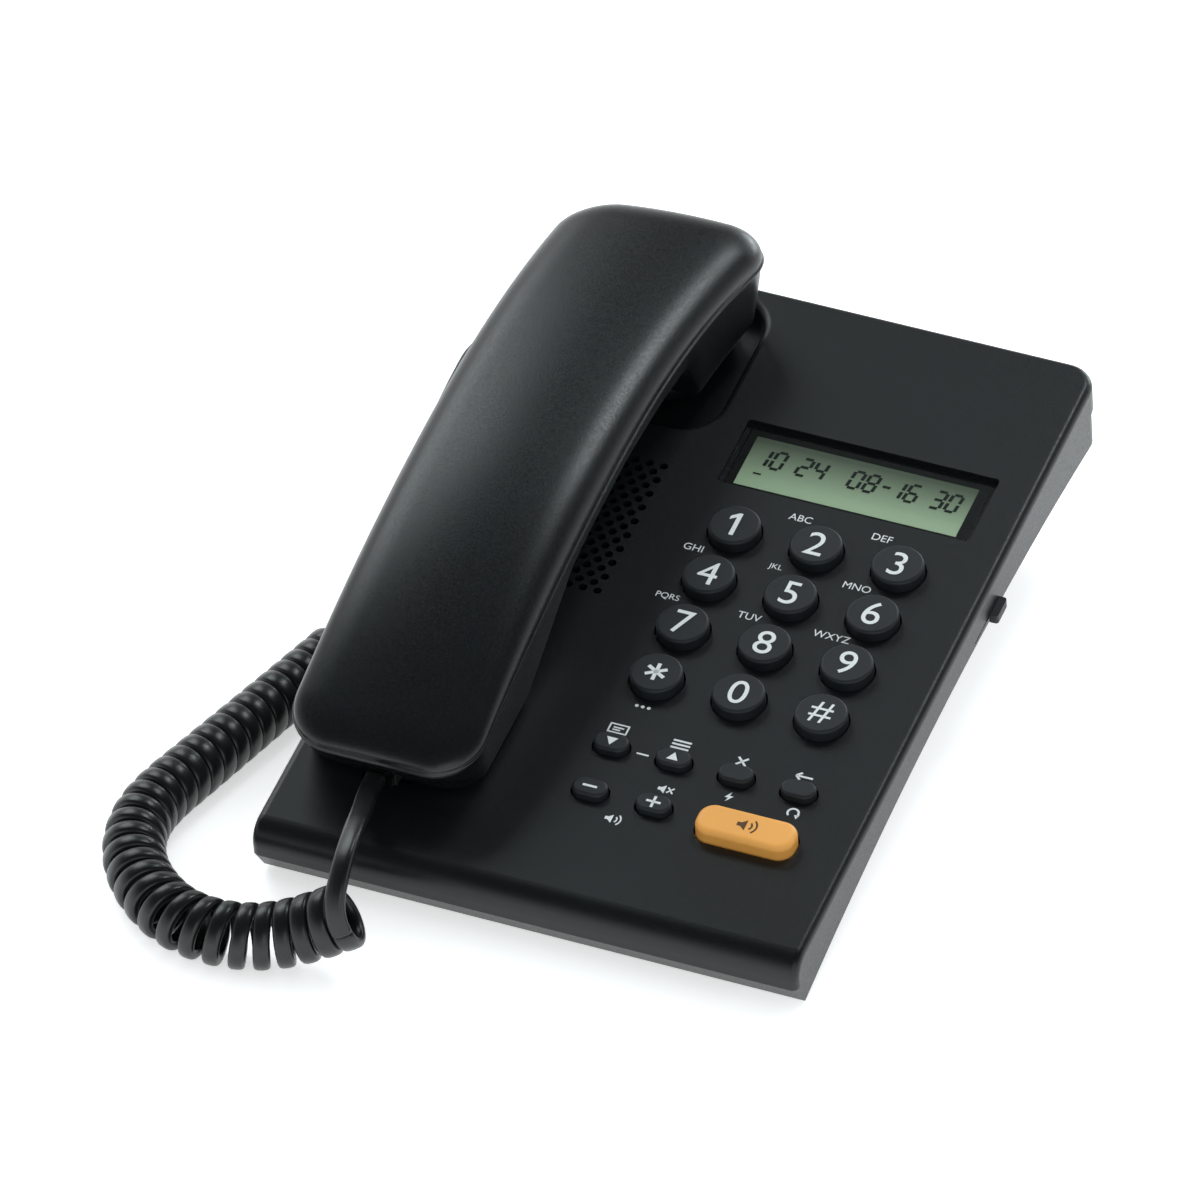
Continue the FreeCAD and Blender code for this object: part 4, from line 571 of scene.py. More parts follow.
def cord_skin(name, colour):
    """Glossy flexible cord sheath with faint lengthwise drawing marks."""
    nodes = material_nodes(name)
    stretch = nodes.add("ShaderNodeMapping", scale=(30.0, 2.0, 1.0))
    nodes.link(nodes.add("ShaderNodeUVMap", uv_map="along").outputs["UV"], stretch.inputs["Vector"])
    lines = nodes.noise(6.0, detail=3.0, place=stretch.outputs["Vector"])
    cloud = nodes.noise(180.0)
    nodes.set("Base Color", nodes.blend(cloud, shade(colour, 0.8), shade(colour, 1.25)))
    nodes.set("Roughness", nodes.spread(lines, 0.26, 0.38))
    nodes.set("Normal", nodes.bump(lines, 0.08, 0.1 * MM))
    nodes.set("Specular IOR Level", 0.5)
    return nodes.owner


# Finishes with their makers' settings; a colour that is a word is one of the panel's. A moulded or
# cast finish has its colour, roughness, scale, depth in millimetres and strength of the grain,
# specular level, metallic share and change of colour.
MOULDED = {
    "cabinet_plastic": ("cabinet", 0.37, 1500.0, 0.06, 0.35, 0.42, 0.0, 0.16),
    "handset_plastic": ("cabinet", 0.33, 1500.0, 0.06, 0.3, 0.5, 0.0, 0.16),
    "key_plastic": ("key", 0.5, 2600.0, 0.03, 0.25, 0.4, 0.0, 0.16),
    "speaker_key_plastic": ("speaker_key", 0.45, 2600.0, 0.03, 0.2, 0.4, 0.0, 0.05),
    "white_plastic": ((0.62, 0.62, 0.6), 0.5, 1500.0, 0.06, 0.35, 0.5, 0.0, 0.05),
    "jack_plastic": ((0.02, 0.02, 0.021), 0.4, 2200.0, 0.06, 0.35, 0.5, 0.0, 0.16),
    "foot_rubber": ((0.02, 0.02, 0.02), 0.8, 900.0, 0.1, 0.5, 0.3, 0.0, 0.16),
    "mat_rubber": ((0.3, 0.3, 0.31), 0.75, 900.0, 0.1, 0.4, 0.3, 0.0, 0.06),
    "screw_steel": ((0.5, 0.5, 0.51), 0.32, 4000.0, 0.03, 0.4, 0.5, 1.0, 0.1),
    "capsule_metal": ((0.55, 0.55, 0.57), 0.35, 3000.0, 0.03, 0.3, 0.5, 1.0, 0.08),
    "iron": ((0.12, 0.12, 0.12), 0.6, 700.0, 0.2, 0.6, 0.5, 0.8, 0.25),
    "speaker_steel": ((0.22, 0.22, 0.23), 0.4, 1800.0, 0.04, 0.3, 0.5, 0.9, 0.1),
}
INKS = {
    "legend_ink": "legend",
    "dark_ink": (0.10, 0.045, 0.015),
    "display_ink": (0.009, 0.014, 0.010),
    "mask_ink": (0.003, 0.0045, 0.004),
}
FINISHES = {
    **{name: (moulded, *settings) for name, settings in MOULDED.items()},
    **{name: (printed, colour) for name, colour in INKS.items()},
    "plug_plastic": (clear_plastic, (0.85, 0.86, 0.84), 0.12),
    "clear_window": (dark_window, (0.006, 0.008, 0.008)),
    "display_ground": (display_ground, "display"),
    "board_mask": (circuit_board,),
    "speaker_paper": (paper_cone,),
    "cord_sheath": (cord_skin, "cord"),
}
CAD_FINISHES = {
    "cabinet_plastic": ("upper_cabinet", "lower_cabinet", "desk_stand"),
    "key_plastic": ("hook_plunger", "ringer_knob", *FUNCTION_KEYS, *VOLUME_KEYS,
                    *(row[0] for row in LEGENDS)),
    "speaker_key_plastic": ("speakerphone_key",),
    "foot_rubber": ("rubber_feet",),
    "white_plastic": ("display_holder", "hook_switch", "ringer_switch"),
    "jack_plastic": ("line_jack", "handset_jack", "handset_cord_jack", "receiver_capsule"),
    "plug_plastic": ("plug_base_end", "plug_handset_end"),
    "screw_steel": ("cabinet_screws", "handset_screws"),
    "capsule_metal": ("handsfree_microphone", "mouthpiece_microphone"),
    "iron": ("handset_weight",),
    "speaker_steel": ("loudspeaker",),
    "board_mask": ("main_board",),
    "speaker_paper": ("speaker_cone",),
    "clear_window": ("display_window",),
    "display_ground": ("display_glass",),
}


def finish(name):
    """The named finish of the phone, made once, under a title that no slot of the record has."""
    title = f"{name}_finish"
    found = bpy.data.materials.get(title)
    if found:
        return found
    maker, *settings = FINISHES[name]
    return maker(title, *(getattr(colours(), s) if isinstance(s, str) else s for s in settings))


class PHONE_OT_finishes(bpy.types.Operator):
    """Give its finish to each part of the construction that isn't replaced"""

    bl_idname = "phone.finishes"
    bl_label = "Finishes"

    def execute(self, context):
        for name, nodes in CAD_FINISHES.items():
            for node in nodes:
                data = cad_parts[node].data
                data.materials.clear()
                data.materials.append(finish(name))
        return {"FINISHED"}


# Stage
class PHONE_OT_stage(bpy.types.Operator):
    """Set the camera, the lamps, the white surroundings and the floor"""

    bl_idname = "phone.stage"
    bl_label = "Stage"

    def execute(self, context):
        scene = context.scene
        scene.view_settings.view_transform = "Standard"
        self.camera(scene)
        for lamp in LAMPS:
            self.lamp(scene, *lamp)
        self.surroundings(scene)
        self.floor(scene)
        return {"FINISHED"}

    def camera(self, scene):
        """The photograph's view."""
        data = bpy.data.cameras.new("camera")
        data.sensor_width = SENSOR
        data.lens = FOCAL_PIXELS / PHOTO_PIXELS * SENSOR
        data.clip_end = CAMERA_REACH
        camera = bpy.data.objects.new("camera", data)
        camera.location = CAMERA_PLACE
        aim = Vector(CAMERA_WAY).to_track_quat("-Z", "Y")
        camera.rotation_euler = (aim @ Quaternion((0, 0, 1), CAMERA_ROLL)).to_euler()
        scene.collection.objects.link(camera)
        scene.camera = camera

    def lamp(self, scene, name, place, size, power):
        """One soft lamp, turned to the phone."""
        lamp = bpy.data.lights.new(name, "AREA")
        lamp.shape = "RECTANGLE"
        lamp.size, lamp.size_y = size
        lamp.energy = power
        lamp.color = LAMP_COLOUR
        holder = bpy.data.objects.new(name, lamp)
        holder.location = place
        aim = Vector(LAMP_AIM) - Vector(place)
        holder.rotation_euler = aim.to_track_quat("-Z", "Y").to_euler()
        scene.collection.objects.link(holder)

    def surroundings(self, scene):
        """Plain room light; the camera sees white, and gloss and clear pieces see a white backdrop
        that fades upwards into a dark ceiling with the height of the ray."""
        scene.world = bpy.data.worlds.new("white_room")
        nodes = Nodes(scene.world, "Background")
        nodes.set("Color", ROOM_COLOUR)
        nodes.set("Strength", ROOM_LIGHT)
        camera, seen = nodes.sight()
        fade = nodes.spread(nodes.height(nodes.place("Generated")), 1.0, CEILING, BACKDROP_TOP,
                            BACKDROP_FADE, interpolation_type="SMOOTHSTEP")
        white = nodes.add("ShaderNodeBackground")
        white.inputs["Color"].default_value = WHITE
        nodes.link(nodes.larger(camera, fade), white.inputs["Strength"])
        mix = nodes.add("ShaderNodeMixShader")
        nodes.link(seen, mix.inputs[0])
        nodes.link(nodes.shader.outputs[0], mix.inputs[1])
        nodes.link(white.outputs[0], mix.inputs[2])
        nodes.link(mix.outputs[0], nodes.tree.nodes["World Output"].inputs["Surface"])

    def floor(self, scene):
        """Pale floor that keeps the shadow and glows a little for what looks at it."""
        r = FLOOR_REACH
        mesh = bpy.data.meshes.new("floor")
        mesh.from_pydata([(-r, -r, 0), (r, -r, 0), (r, r, 0), (-r, r, 0)], [], [(0, 1, 2, 3)])
        floor = bpy.data.objects.new("floor", mesh)
        floor.location.z = FLOOR_LEVEL
        scene.collection.objects.link(floor)
        nodes = material_nodes("pale_floor")
        nodes.set("Base Color", FLOOR_COLOUR)
        nodes.set("Roughness", 0.9)
        nodes.set("Specular IOR Level", 0.0)
        nodes.set("Emission Color", WHITE)
        glow = nodes.add("ShaderNodeMath", operation="MULTIPLY")
        glow.inputs[1].default_value = FLOOR_GLOW
        nodes.link(nodes.sight()[1], glow.inputs[0])
        nodes.set("Emission Strength", glow.outputs[0])
        mesh.materials.append(nodes.owner)


# Cord
def spline_points(name, points, count):
    """Evenly spaced points of the order-3 NURBS curve whose control points are given."""
    curve = bpy.data.curves.new(name, "CURVE")
    curve.dimensions = "3D"
    curve.resolution_u = 24
    spline = curve.splines.new("NURBS")
    spline.points.add(len(points) - 1)
    spline.points.foreach_set("co", np.c_[points, np.ones(len(points))].ravel())
    spline.order_u = 3
    spline.use_endpoint_u = True
    line, _ = curve_mesh(bpy.data.objects.new(name, curve))
    run = np.r_[0, np.cumsum(np.linalg.norm(np.diff(line, axis=0), axis=1))]
    at = np.linspace(0, run[-1], count)
    return np.stack([np.interp(at, run, line[:, axis]) for axis in range(3)], -1)


def ribbon_tube(name, line, across, widths, thickness, body, around=16):
    """Flat cord: a squarish oval section (exponent 3) carried along a line, its width along the
    across vectors, closed by a fan at each end."""
    ahead = unit(np.gradient(line, axis=0))
    wide = unit(across - ahead * (across * ahead).sum(1, keepdims=True))
    thick = np.cross(ahead, wide)
    angle = np.linspace(0, 2 * np.pi, around, endpoint=False)
    u, v = (np.sign(part) * np.abs(part) ** SECTION_POWER
            for part in (np.cos(angle), np.sin(angle)))
    rings = (line[:, None] + wide[:, None] * (u[None, :, None] * (widths / 2)[:, None, None])
             + thick[:, None] * (v * thickness / 2)[None, :, None])
    count = len(line)
    points = np.concatenate([rings.reshape(-1, 3), line[:1], line[-1:]])
    first, last = count * around, (count - 1) * around
    caps = [(first, (n + 1) % around, n) for n in range(around)]
    caps += [(first + 1, last + n, last + (n + 1) % around) for n in range(around)]
    faces = turned_out(points, quads(count, around, wrap=True))
    piece = make_piece(name, points, [*faces.tolist(), *caps], body, "cord_black",
                       finish("cord_sheath"))
    layer = piece.data.uv_layers.new(name="along")
    corner = np.zeros(len(piece.data.loops), int)
    piece.data.loops.foreach_get("vertex_index", corner)
    along = np.minimum(corner // around, count - 1) * SHEATH_STEP
    layer.data.foreach_set("uv", np.stack([(corner % around) / around, along], -1).ravel())
    return piece


class PHONE_OT_cord(bpy.types.Operator):
    """Wind the curly cord and run its lead and tail to the plugs"""

    bl_idname = "phone.cord"
    bl_label = "Cord"

    def execute(self, context):
        width, thick = sizes().wire_width, sizes().wire_thickness
        coil, radial, ahead, local = self.curls(width)
        self.lead(coil, ahead, local[0], thick)
        tail = self.tail(coil)
        joined = np.concatenate([coil, tail[1:]])
        across = np.cross(radial, unit(np.gradient(coil, axis=0)))
        across = np.concatenate([across, self.carry(tail, ahead[-1])[1:]])
        widths = np.concatenate([local, np.linspace(local[-1], width, len(tail) - 1)])
        curly = ribbon_tube("curly_cord_wire", joined, across, widths, thick, "base")
        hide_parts("curly_cord", "cord_tail")
        return {"FINISHED"}

    def curls(self, width):
        """Curls: a circle of slowly narrowing radius, square to a route on the table, turned as it
        is carried along it. Returns the line, the outward and forward directions along it, and the
        wire's width, at most what the space between two curls leaves room for."""
        route = np.array(CURL_ROUTE, float)
        share = np.linspace(0, 1, len(route))
        route[:, 2] += COIL_FRONT + (COIL_BACK - COIL_FRONT) * share + COIL_REST
        count = int(CURL_TURNS * POINTS_PER_TURN) + 1
        axis = spline_points("curl_route", table(route), count)
        ahead = unit(np.gradient(axis, axis=0))
        side = unit(np.cross((0.0, 0.0, 1.0), ahead))
        top = np.cross(ahead, side)
        angle = np.linspace(0, 2 * np.pi * CURL_TURNS, count)
        radial = side * np.cos(angle)[:, None] - top * np.sin(angle)[:, None]
        radius = np.linspace(COIL_FRONT, COIL_BACK, count) * MM
        step = np.linalg.norm(axis[1] - axis[0])
        bend = np.linalg.norm(np.gradient(ahead, axis=0), axis=1) / step
        room = step * POINTS_PER_TURN * (1 - bend * radius)
        reach = POINTS_PER_TURN * 3 // 2
        window = np.ones(2 * reach + 1) / (2 * reach + 1)
        even = np.convolve(np.pad(room, reach, "edge"), window, "valid")
        local = np.minimum(width, even - CURL_GAP * MM)
        return axis + radial * radius[:, None], radial, ahead, local

    def lead(self, coil, ahead, end_width, thick):
        """Flat lead from the handset's plug down to the first curl: its width turns from across the
        handset to along the curls."""
        x, y, z = LEAD_FACE
        way = unit(coil[1] - coil[0])
        points = np.array([deck((x, y, z)), deck((x, y - LEAD_PLUG_RUN, z)), *table(LEAD_ROUTE),
                           coil[0] - way * LEAD_CURL_RUN * MM, coil[0]])
        line = spline_points("lead_route", points, LEAD_POINTS)
        share = np.linspace(0, 1, len(line))[:, None]
        share = share * share * (3 - 2 * share)
        across = np.array([-1.0, 0, 0]) * (1 - share) + ahead[0] * share
        widths = np.linspace(sizes().wire_width, end_width, len(line))
        lead = ribbon_tube("handset_lead_wire", line, across, widths, thick, None)
        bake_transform(lead)
        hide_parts("handset_lead")

    def tail(self, coil):
        """Points of the tail from the last curl to the plug in the base's side."""
        face = deck(TAIL_FACE)
        way = unit(coil[-1] - coil[-2])
        out = face - np.array([TAIL_PLUG_RUN, 0, 0]) * MM
        after = coil[-1] + way * TAIL_CURL_RUN * MM
        points = np.array([coil[-1], after, *table(TAIL_ROUTE), out, face])
        return spline_points("tail_route", points, TAIL_POINTS)

    def carry(self, tail, first):
        """Width directions of the tail: the first one carried along it without twist."""
        found = [first]
        for way in unit(np.gradient(tail, axis=0))[1:]:
            found.append(unit(found[-1] - way * (found[-1] @ way)))
        return np.array(found)


# Surfaces
class Plan:
    """A rectangle with round corners, as rows of points across it from front to back: rows crowd at
    the two ends and columns at the two sides. Holds each point's distance in from the outline, and
    round the edge the points' order, their places and the directions square to the outline."""

    def __init__(self, front, back, half, corner, middle_rows, cols, corner_rows=18):
        turn = corner * (1 - np.cos(np.linspace(0, np.pi / 2, corner_rows)))
        middle = np.linspace(front + corner, back - corner, middle_rows + 2)[1:-1]
        along = np.r_[front + turn, middle, back - turn[::-1]]
        past = np.maximum(np.maximum(front + corner - along, along - (back - corner)), 0)
        reach = half - corner + np.sqrt(np.maximum(corner ** 2 - past ** 2, 0))
        self.x = reach[:, None] * np.sin(np.linspace(-np.pi / 2, np.pi / 2, cols))
        self.y = np.repeat(along[:, None], cols, axis=1)
        dx, dy = half - np.abs(self.x), np.minimum(self.y - front, back - self.y)
        in_corner = corner - np.hypot(np.maximum(corner - dx, 0), np.maximum(corner - dy, 0))
        inward = np.where((dx < corner) & (dy < corner), in_corner, np.minimum(dx, dy))
        self.inward = np.maximum(inward, 0)
        order = np.arange(self.x.size).reshape(self.x.shape)
        self.edge = np.r_[order[0], order[1:, -1], order[-1, -2::-1], order[-2:0:-1, 0]]
        self.outline = np.stack([self.at_edge(self.x), self.at_edge(self.y)], -1)
        low, high = (corner - half, front + corner), (half - corner, back - corner)
        self.away = unit(self.outline - np.clip(self.outline, low, high))

    def at_edge(self, values):
        """Values at the points round the edge, in order."""
        return values.ravel()[self.edge]

    def skin(self, upper, lower, rings):
        """Points and outward faces of one closed shape: an upper grid, rings of points round its
        edge from top to bottom, and a lower grid."""
        points = [upper.reshape(-1, 3), *rings, lower.reshape(-1, 3)]
        starts = np.cumsum([0] + [len(p) for p in points])
        between = [start + np.arange(len(self.edge)) for start in starts[1:-2]]
        loops = [self.edge, *between, starts[-2] + self.edge]
        faces = [quads(*self.x.shape)]
        for a, b in zip(loops, loops[1:]):
            faces.append(np.stack([a, b, np.roll(b, -1), np.roll(a, -1)], -1))
        faces.append(quads(*self.x.shape, start=starts[-2])[:, ::-1])
        points = np.concatenate(points)
        return points, turned_out(points, np.concatenate(faces))


def rounded(inward, radius):
    """Rise of a round edge: a quarter circle over the distance in from the outline."""
    share = np.clip(1 - inward / radius, 0, 1)
    return radius * (1 - np.sqrt(1 - share ** 2))


# Handset
def on_handset(x, y, z):
    """World metres of points on the handset, which widens, bears right and leans round towards its
    ear end: all three grow with a power of the way from the grip's middle."""
    share = np.clip((y - FLARE_START) / (HANDSET_BACK - FLARE_START), 0, 1) ** FLARE_POWER
    across = x * (1 + share * FLARE_WIDEN / HANDSET_HALF) + share * FLARE_SHIFT
    return deck(np.stack([across + HANDSET_X, y + share * FLARE_SHEAR * x, z], -1))


def within(x, y, shares):
    """Points drawn in towards the handset's middle by a share across and a share along."""
    return x * shares[0], (y - HANDSET_APEX) * shares[1] + HANDSET_APEX


def arch(y):
    """Height of the handset's middle line: two arcs that meet level at the apex."""
    def arc(end_y, end_z):
        span, fall = HANDSET_APEX - end_y, TOP_APEX - end_z
        radius = (span * span + fall * fall) / (2 * fall)
        return TOP_APEX - radius + np.sqrt(np.maximum(radius ** 2 - (y - HANDSET_APEX) ** 2, 0))

    return np.where(y < HANDSET_APEX, arc(HANDSET_FRONT, TOP_FRONT), arc(HANDSET_BACK, TOP_BACK))


def parting(y):
    """Height of the line between the shells: the arc through three points."""
    (x1, y1), (x2, y2), (x3, y3) = PART_HEIGHTS
    matrix = 2 * np.array([[x2 - x1, y2 - y1], [x3 - x1, y3 - y1]])
    first = x1 ** 2 + y1 ** 2
    right = np.array([x2 ** 2 + y2 ** 2 - first, x3 ** 2 + y3 ** 2 - first])
    cx, cy = np.linalg.solve(matrix, right)
    return cy + np.sqrt((x1 - cx) ** 2 + (y1 - cy) ** 2 - (y - cx) ** 2)


def underside(y):
    """Height of the handset's underside: the line through its heights, averaged over a width."""
    step, margin = 0.1, 20
    fine = np.arange(y.min() - margin, y.max() + margin, step)
    raw = np.interp(fine, *zip(*UNDERSIDE))
    window = np.hanning(int(UNDERSIDE_SOFTENING / step) | 1)
    padded = np.pad(raw, len(window) // 2, "edge")
    return np.interp(y, fine, np.convolve(padded, window / window.sum(), "valid"))


class PHONE_OT_handset(bpy.types.Operator):
    """Form the handset's two shells, its mouth cap and its ear cap"""

    bl_idname = "phone.handset"
    bl_label = "Handset"

    def execute(self, context):
        self.lid()
        self.tray()
        for cap in CAPS:
            self.cap(*cap)
        return {"FINISHED"}

    def shell(self, name, points, faces):
        """A piece of the handset."""
        return make_piece(name, points, faces, "handset", "cabinet", finish("handset_plastic"))

    def lid(self):
        """Upper shell. Height = arch - k * (crown * (x / half)^2
        + shoulder * (1 - (1 - (1 - d / s)^p)^(1 / p))), d the distance in from the outline, s and p
        the shoulder's width and power, and k the share of the drop that the side height leaves room
        for; a small bead runs round its lower edge."""
        half = HANDSET_HALF - LID_GAP
        plan = Plan(HANDSET_FRONT + LID_GAP, HANDSET_BACK - LID_GAP, half, HANDSET_CORNER,
                    middle_rows=130, cols=65)
        x, y = plan.x, plan.y
        top, low = arch(y), parting(y)
        room = (top - low - RIM_HEIGHT) / (CROWN_DROP + SHOULDER_DROP)
        share = np.clip(1 - plan.inward / SHOULDER_WIDTH, 0, 1)
        shoulder = 1 - (1 - share ** SHOULDER_POWER) ** (1 / SHOULDER_POWER)
        z = top - room * (CROWN_DROP * (x / half) ** 2 + SHOULDER_DROP * shoulder)
        seam, rim = plan.at_edge(low) + LID_SEAM, plan.at_edge(z)
        above = np.minimum(seam + BEAD_REACH * BEAD, rim)
        rings = [on_handset(*plan.outline.T, (rim + above) / 2)]
        for out, rise in BEAD_POINTS:
            height = np.minimum(seam + rise * BEAD, rim)
            rings.append(on_handset(*(plan.outline + plan.away * out).T, height))
        inner = on_handset(*within(x, y, LID_INNER), np.maximum(z - LID_WALL, low + LID_SEAM))
        lid = self.shell("handset_lid", *plan.skin(on_handset(x, y, z), inner, rings))
        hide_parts("handset_top_shell")

    def tray(self):
        """Lower shell. Walls run down from the parting line and lean in, then turn with a radius
        into the underside, whose height along the handset is a softened line: mouth end, hollow
        grip, ear end."""
        half = HANDSET_HALF - TRAY_GAP
        front, back = HANDSET_FRONT + TRAY_GAP, HANDSET_BACK - TRAY_GAP
        plan = Plan(front, back, half, TRAY_CORNER, middle_rows=190, cols=57)
        x, y = plan.x, plan.y
        low = parting(y)
        lean_in = LEAN_FRONT * np.clip(1 - (y - front) / LEAN_FRONT_RUN, 0, 1) ** 2
        lean_in -= LEAN_BACK * np.clip(1 - (back - y) / LEAN_BACK_RUN, 0, 1) ** 2
        foot_x, foot_y = x * (1 - LEAN_SIDE / half), y + lean_in
        under = underside(foot_y)
        most = np.maximum(low - under - TRAY_LEAST_WALL, 0)
        foot = under + np.minimum(rounded(plan.inward, TRAY_TURN), most)
        seam, depth = plan.at_edge(low - TRAY_SEAM), plan.at_edge(low - TRAY_SEAM - foot)
        lean_x, lean_y = plan.at_edge(foot_x - x), plan.at_edge(foot_y - y)
        rings = []
        for share, inset in WALL_POINTS:
            lean = np.stack([lean_x * share, lean_y * share ** LEAN_POWER], -1)
            ring = plan.outline + lean - plan.away * inset
            rings.append(on_handset(*ring.T, seam - share * depth))
        upper = on_handset(*within(x, y, TRAY_INNER), low - TRAY_INNER_DEPTH)
        lower = on_handset(foot_x, foot_y, foot)
        tray = self.shell("handset_tray", *plan.skin(upper, lower, rings))
        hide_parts("handset_lower_shell")

    def cap(self, name, middle, half, half_long, corner, low):
        """Mouth or ear cap: a flat face with a rounded edge, and sound holes sunk in it: one in its
        middle and a ring of others."""
        plan = Plan(middle - half_long, middle + half_long, half, corner,
                    middle_rows=70, cols=81, corner_rows=24)
        x, y = plan.x, plan.y
        z = low + rounded(plan.inward, CAP_TURN)
        angle = np.arange(SOUND_HOLES) * 2 * math.pi / SOUND_HOLES
        holes = SOUND_RING * np.stack([np.cos(angle), np.sin(angle)], -1)
        for across, along in ((0.0, 0.0), *holes):
            near = np.hypot(x - across, y - middle - along)
            z = np.maximum(z, low + HOLE_DEPTH * np.clip((HOLE_RADIUS - near) / HOLE_BEVEL, 0, 1))
        ring = on_handset(*plan.outline.T, np.full(len(plan.edge), CAP_EDGE))
        inner_y = middle + (y - middle) * CAP_INNER
        upper = on_handset(x * CAP_INNER, inner_y, np.full(x.shape, CAP_TOP))
        self.shell(name, *plan.skin(upper, on_handset(x, y, z), [ring]))


# Keypad mat
class PHONE_OT_mat(bpy.types.Operator):
    """Form the rubber keypad mat, with a dome under each key"""

    bl_idname = "phone.mat"
    bl_label = "Keypad Mat"

    def execute(self, context):
        self.sheet()
        for node, _, column, row, _ in LEGENDS:
            self.dome(node, COLUMNS[column], ROWS[row], DOME_RADIUS)
        for nodes, places, y in ((FUNCTION_KEYS, FUNCTION_X, FUNCTION_Y),
                                 (VOLUME_KEYS, VOLUME_X, VOLUME_Y)):
            for node, x in zip(nodes, places):
                self.dome(node, x, y, SMALL_DOME_RADIUS)
        self.dome("speakerphone_key", *ORANGE_KEY, SMALL_DOME_RADIUS)
        return {"FINISHED"}

    def sheet(self):
        """Sheet of the mat: a flat rectangle with round corners and a thickness."""
        low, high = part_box("keypad_mat")
        half, middle = (high.x - low.x) / 2 / MM, (high.x + low.x) / 2 / MM - SIDE_SHIFT
        plan = Plan(MAT_FRONT, MAT_BACK, half, MAT_CORNER, middle_rows=24, cols=25, corner_rows=6)
        upper, between, lower = (
            deck(np.stack([plan.x + middle, plan.y, np.full(plan.x.shape, z)], -1))
            for z in (MAT_TOP, (MAT_TOP + MAT_LOW) / 2, MAT_LOW))
        ring = between.reshape(-1, 3)[plan.edge]
        sheet = make_piece("keypad_mat_sheet", *plan.skin(upper, lower, [ring]), "base",
                           "mat_rubber", finish("mat_rubber"))
        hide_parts("keypad_mat")

    def dome(self, node, x, y, radius, rings=14, around=28):
        """Dome under a key: a tapered profile with a rounded top, carried round the key's axis."""
        share = np.linspace(0, 1, rings)
        past = np.clip((share - DOME_SHOULDER) / (1 - DOME_SHOULDER), 0, 1)
        reach = radius * (1 - DOME_TAPER * share - DOME_ROUNDING * past ** 2)
        angle = np.linspace(0, 2 * np.pi, around, endpoint=False)
        flat = (x, y) + reach[:, None, None] * np.stack([np.cos(angle), np.sin(angle)], -1)
        level = (MAT_TOP + DOME_HEIGHT * share)[:, None, None]
        height = np.broadcast_to(level, (rings, around, 1))
        points = deck(np.concatenate([flat, height], -1).reshape(-1, 3))
        last = (rings - 1) * around
        caps = [tuple(range(around - 1, -1, -1)), tuple(range(last, last + around))]
        faces = [*quads(rings, around, wrap=True).tolist(), *caps]
        dome = make_piece(f"dome_under_{node}", points, faces, "base", "mat_rubber",
                          finish("mat_rubber"))
        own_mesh(dome)


# Printed marks
def flat_text(words, height):
    """Points and faces of flat filled text of a height, in millimetres, about its own middle."""
    data = bpy.data.curves.new("legend", "FONT")
    data.body = words
    data.align_x = "CENTER"
    data.resolution_u = 6
    points, faces = curve_mesh(bpy.data.objects.new("legend", data))
    points = points[:, :2]
    low, high = points.min(0), points.max(0)
    return (points - (low + high) / 2) * (height / (high[1] - low[1])), faces


def shape_of(*outlines):
    """Points and faces of separate filled outlines."""
    points, faces = [], []
    for line in outlines:
        faces.append(tuple(range(len(points), len(points) + len(line))))
        points += [tuple(p) for p in line]
    return np.array(points, float), faces


def bar(x0, y0, x1, y1, width):
    """A straight stroke from one point to another."""
    along = np.array([x1 - x0, y1 - y0], float)
    side = np.array([-along[1], along[0]]) / np.hypot(*along) * width / 2
    a, b = np.array([x0, y0]), np.array([x1, y1])
    return [a - side, b - side, b + side, a + side]


def bow(x, y, radius, start, end, width, steps=10):
    """A curved stroke: part of a ring between two angles in degrees."""
    angle = np.radians(np.linspace(start, end, steps))
    ring = np.stack([np.cos(angle), np.sin(angle)], -1)
    outer, inner = ring * (radius + width / 2), ring * (radius - width / 2)
    return [*(outer + (x, y)), *(inner + (x, y))[::-1]]


def print_on(name, parts, level, body, ink="legend_ink", slot="key_black"):
    """Prints flat shapes, each moved to its place, on a face of the deck's frame at a level."""
    points, faces, count = [], [], 0
    for (shape, outlines), x, y in parts:
        points.append(shape + (x, y))
        faces += [tuple(v + count for v in face) for face in outlines]
        count += len(shape)
    lifted = np.full((count, 1), level + sizes().print_lift / MM)
    points = deck(np.concatenate([np.concatenate(points), lifted], 1))
    return make_piece(name, points, faces, body, slot, finish(ink), smooth=False)


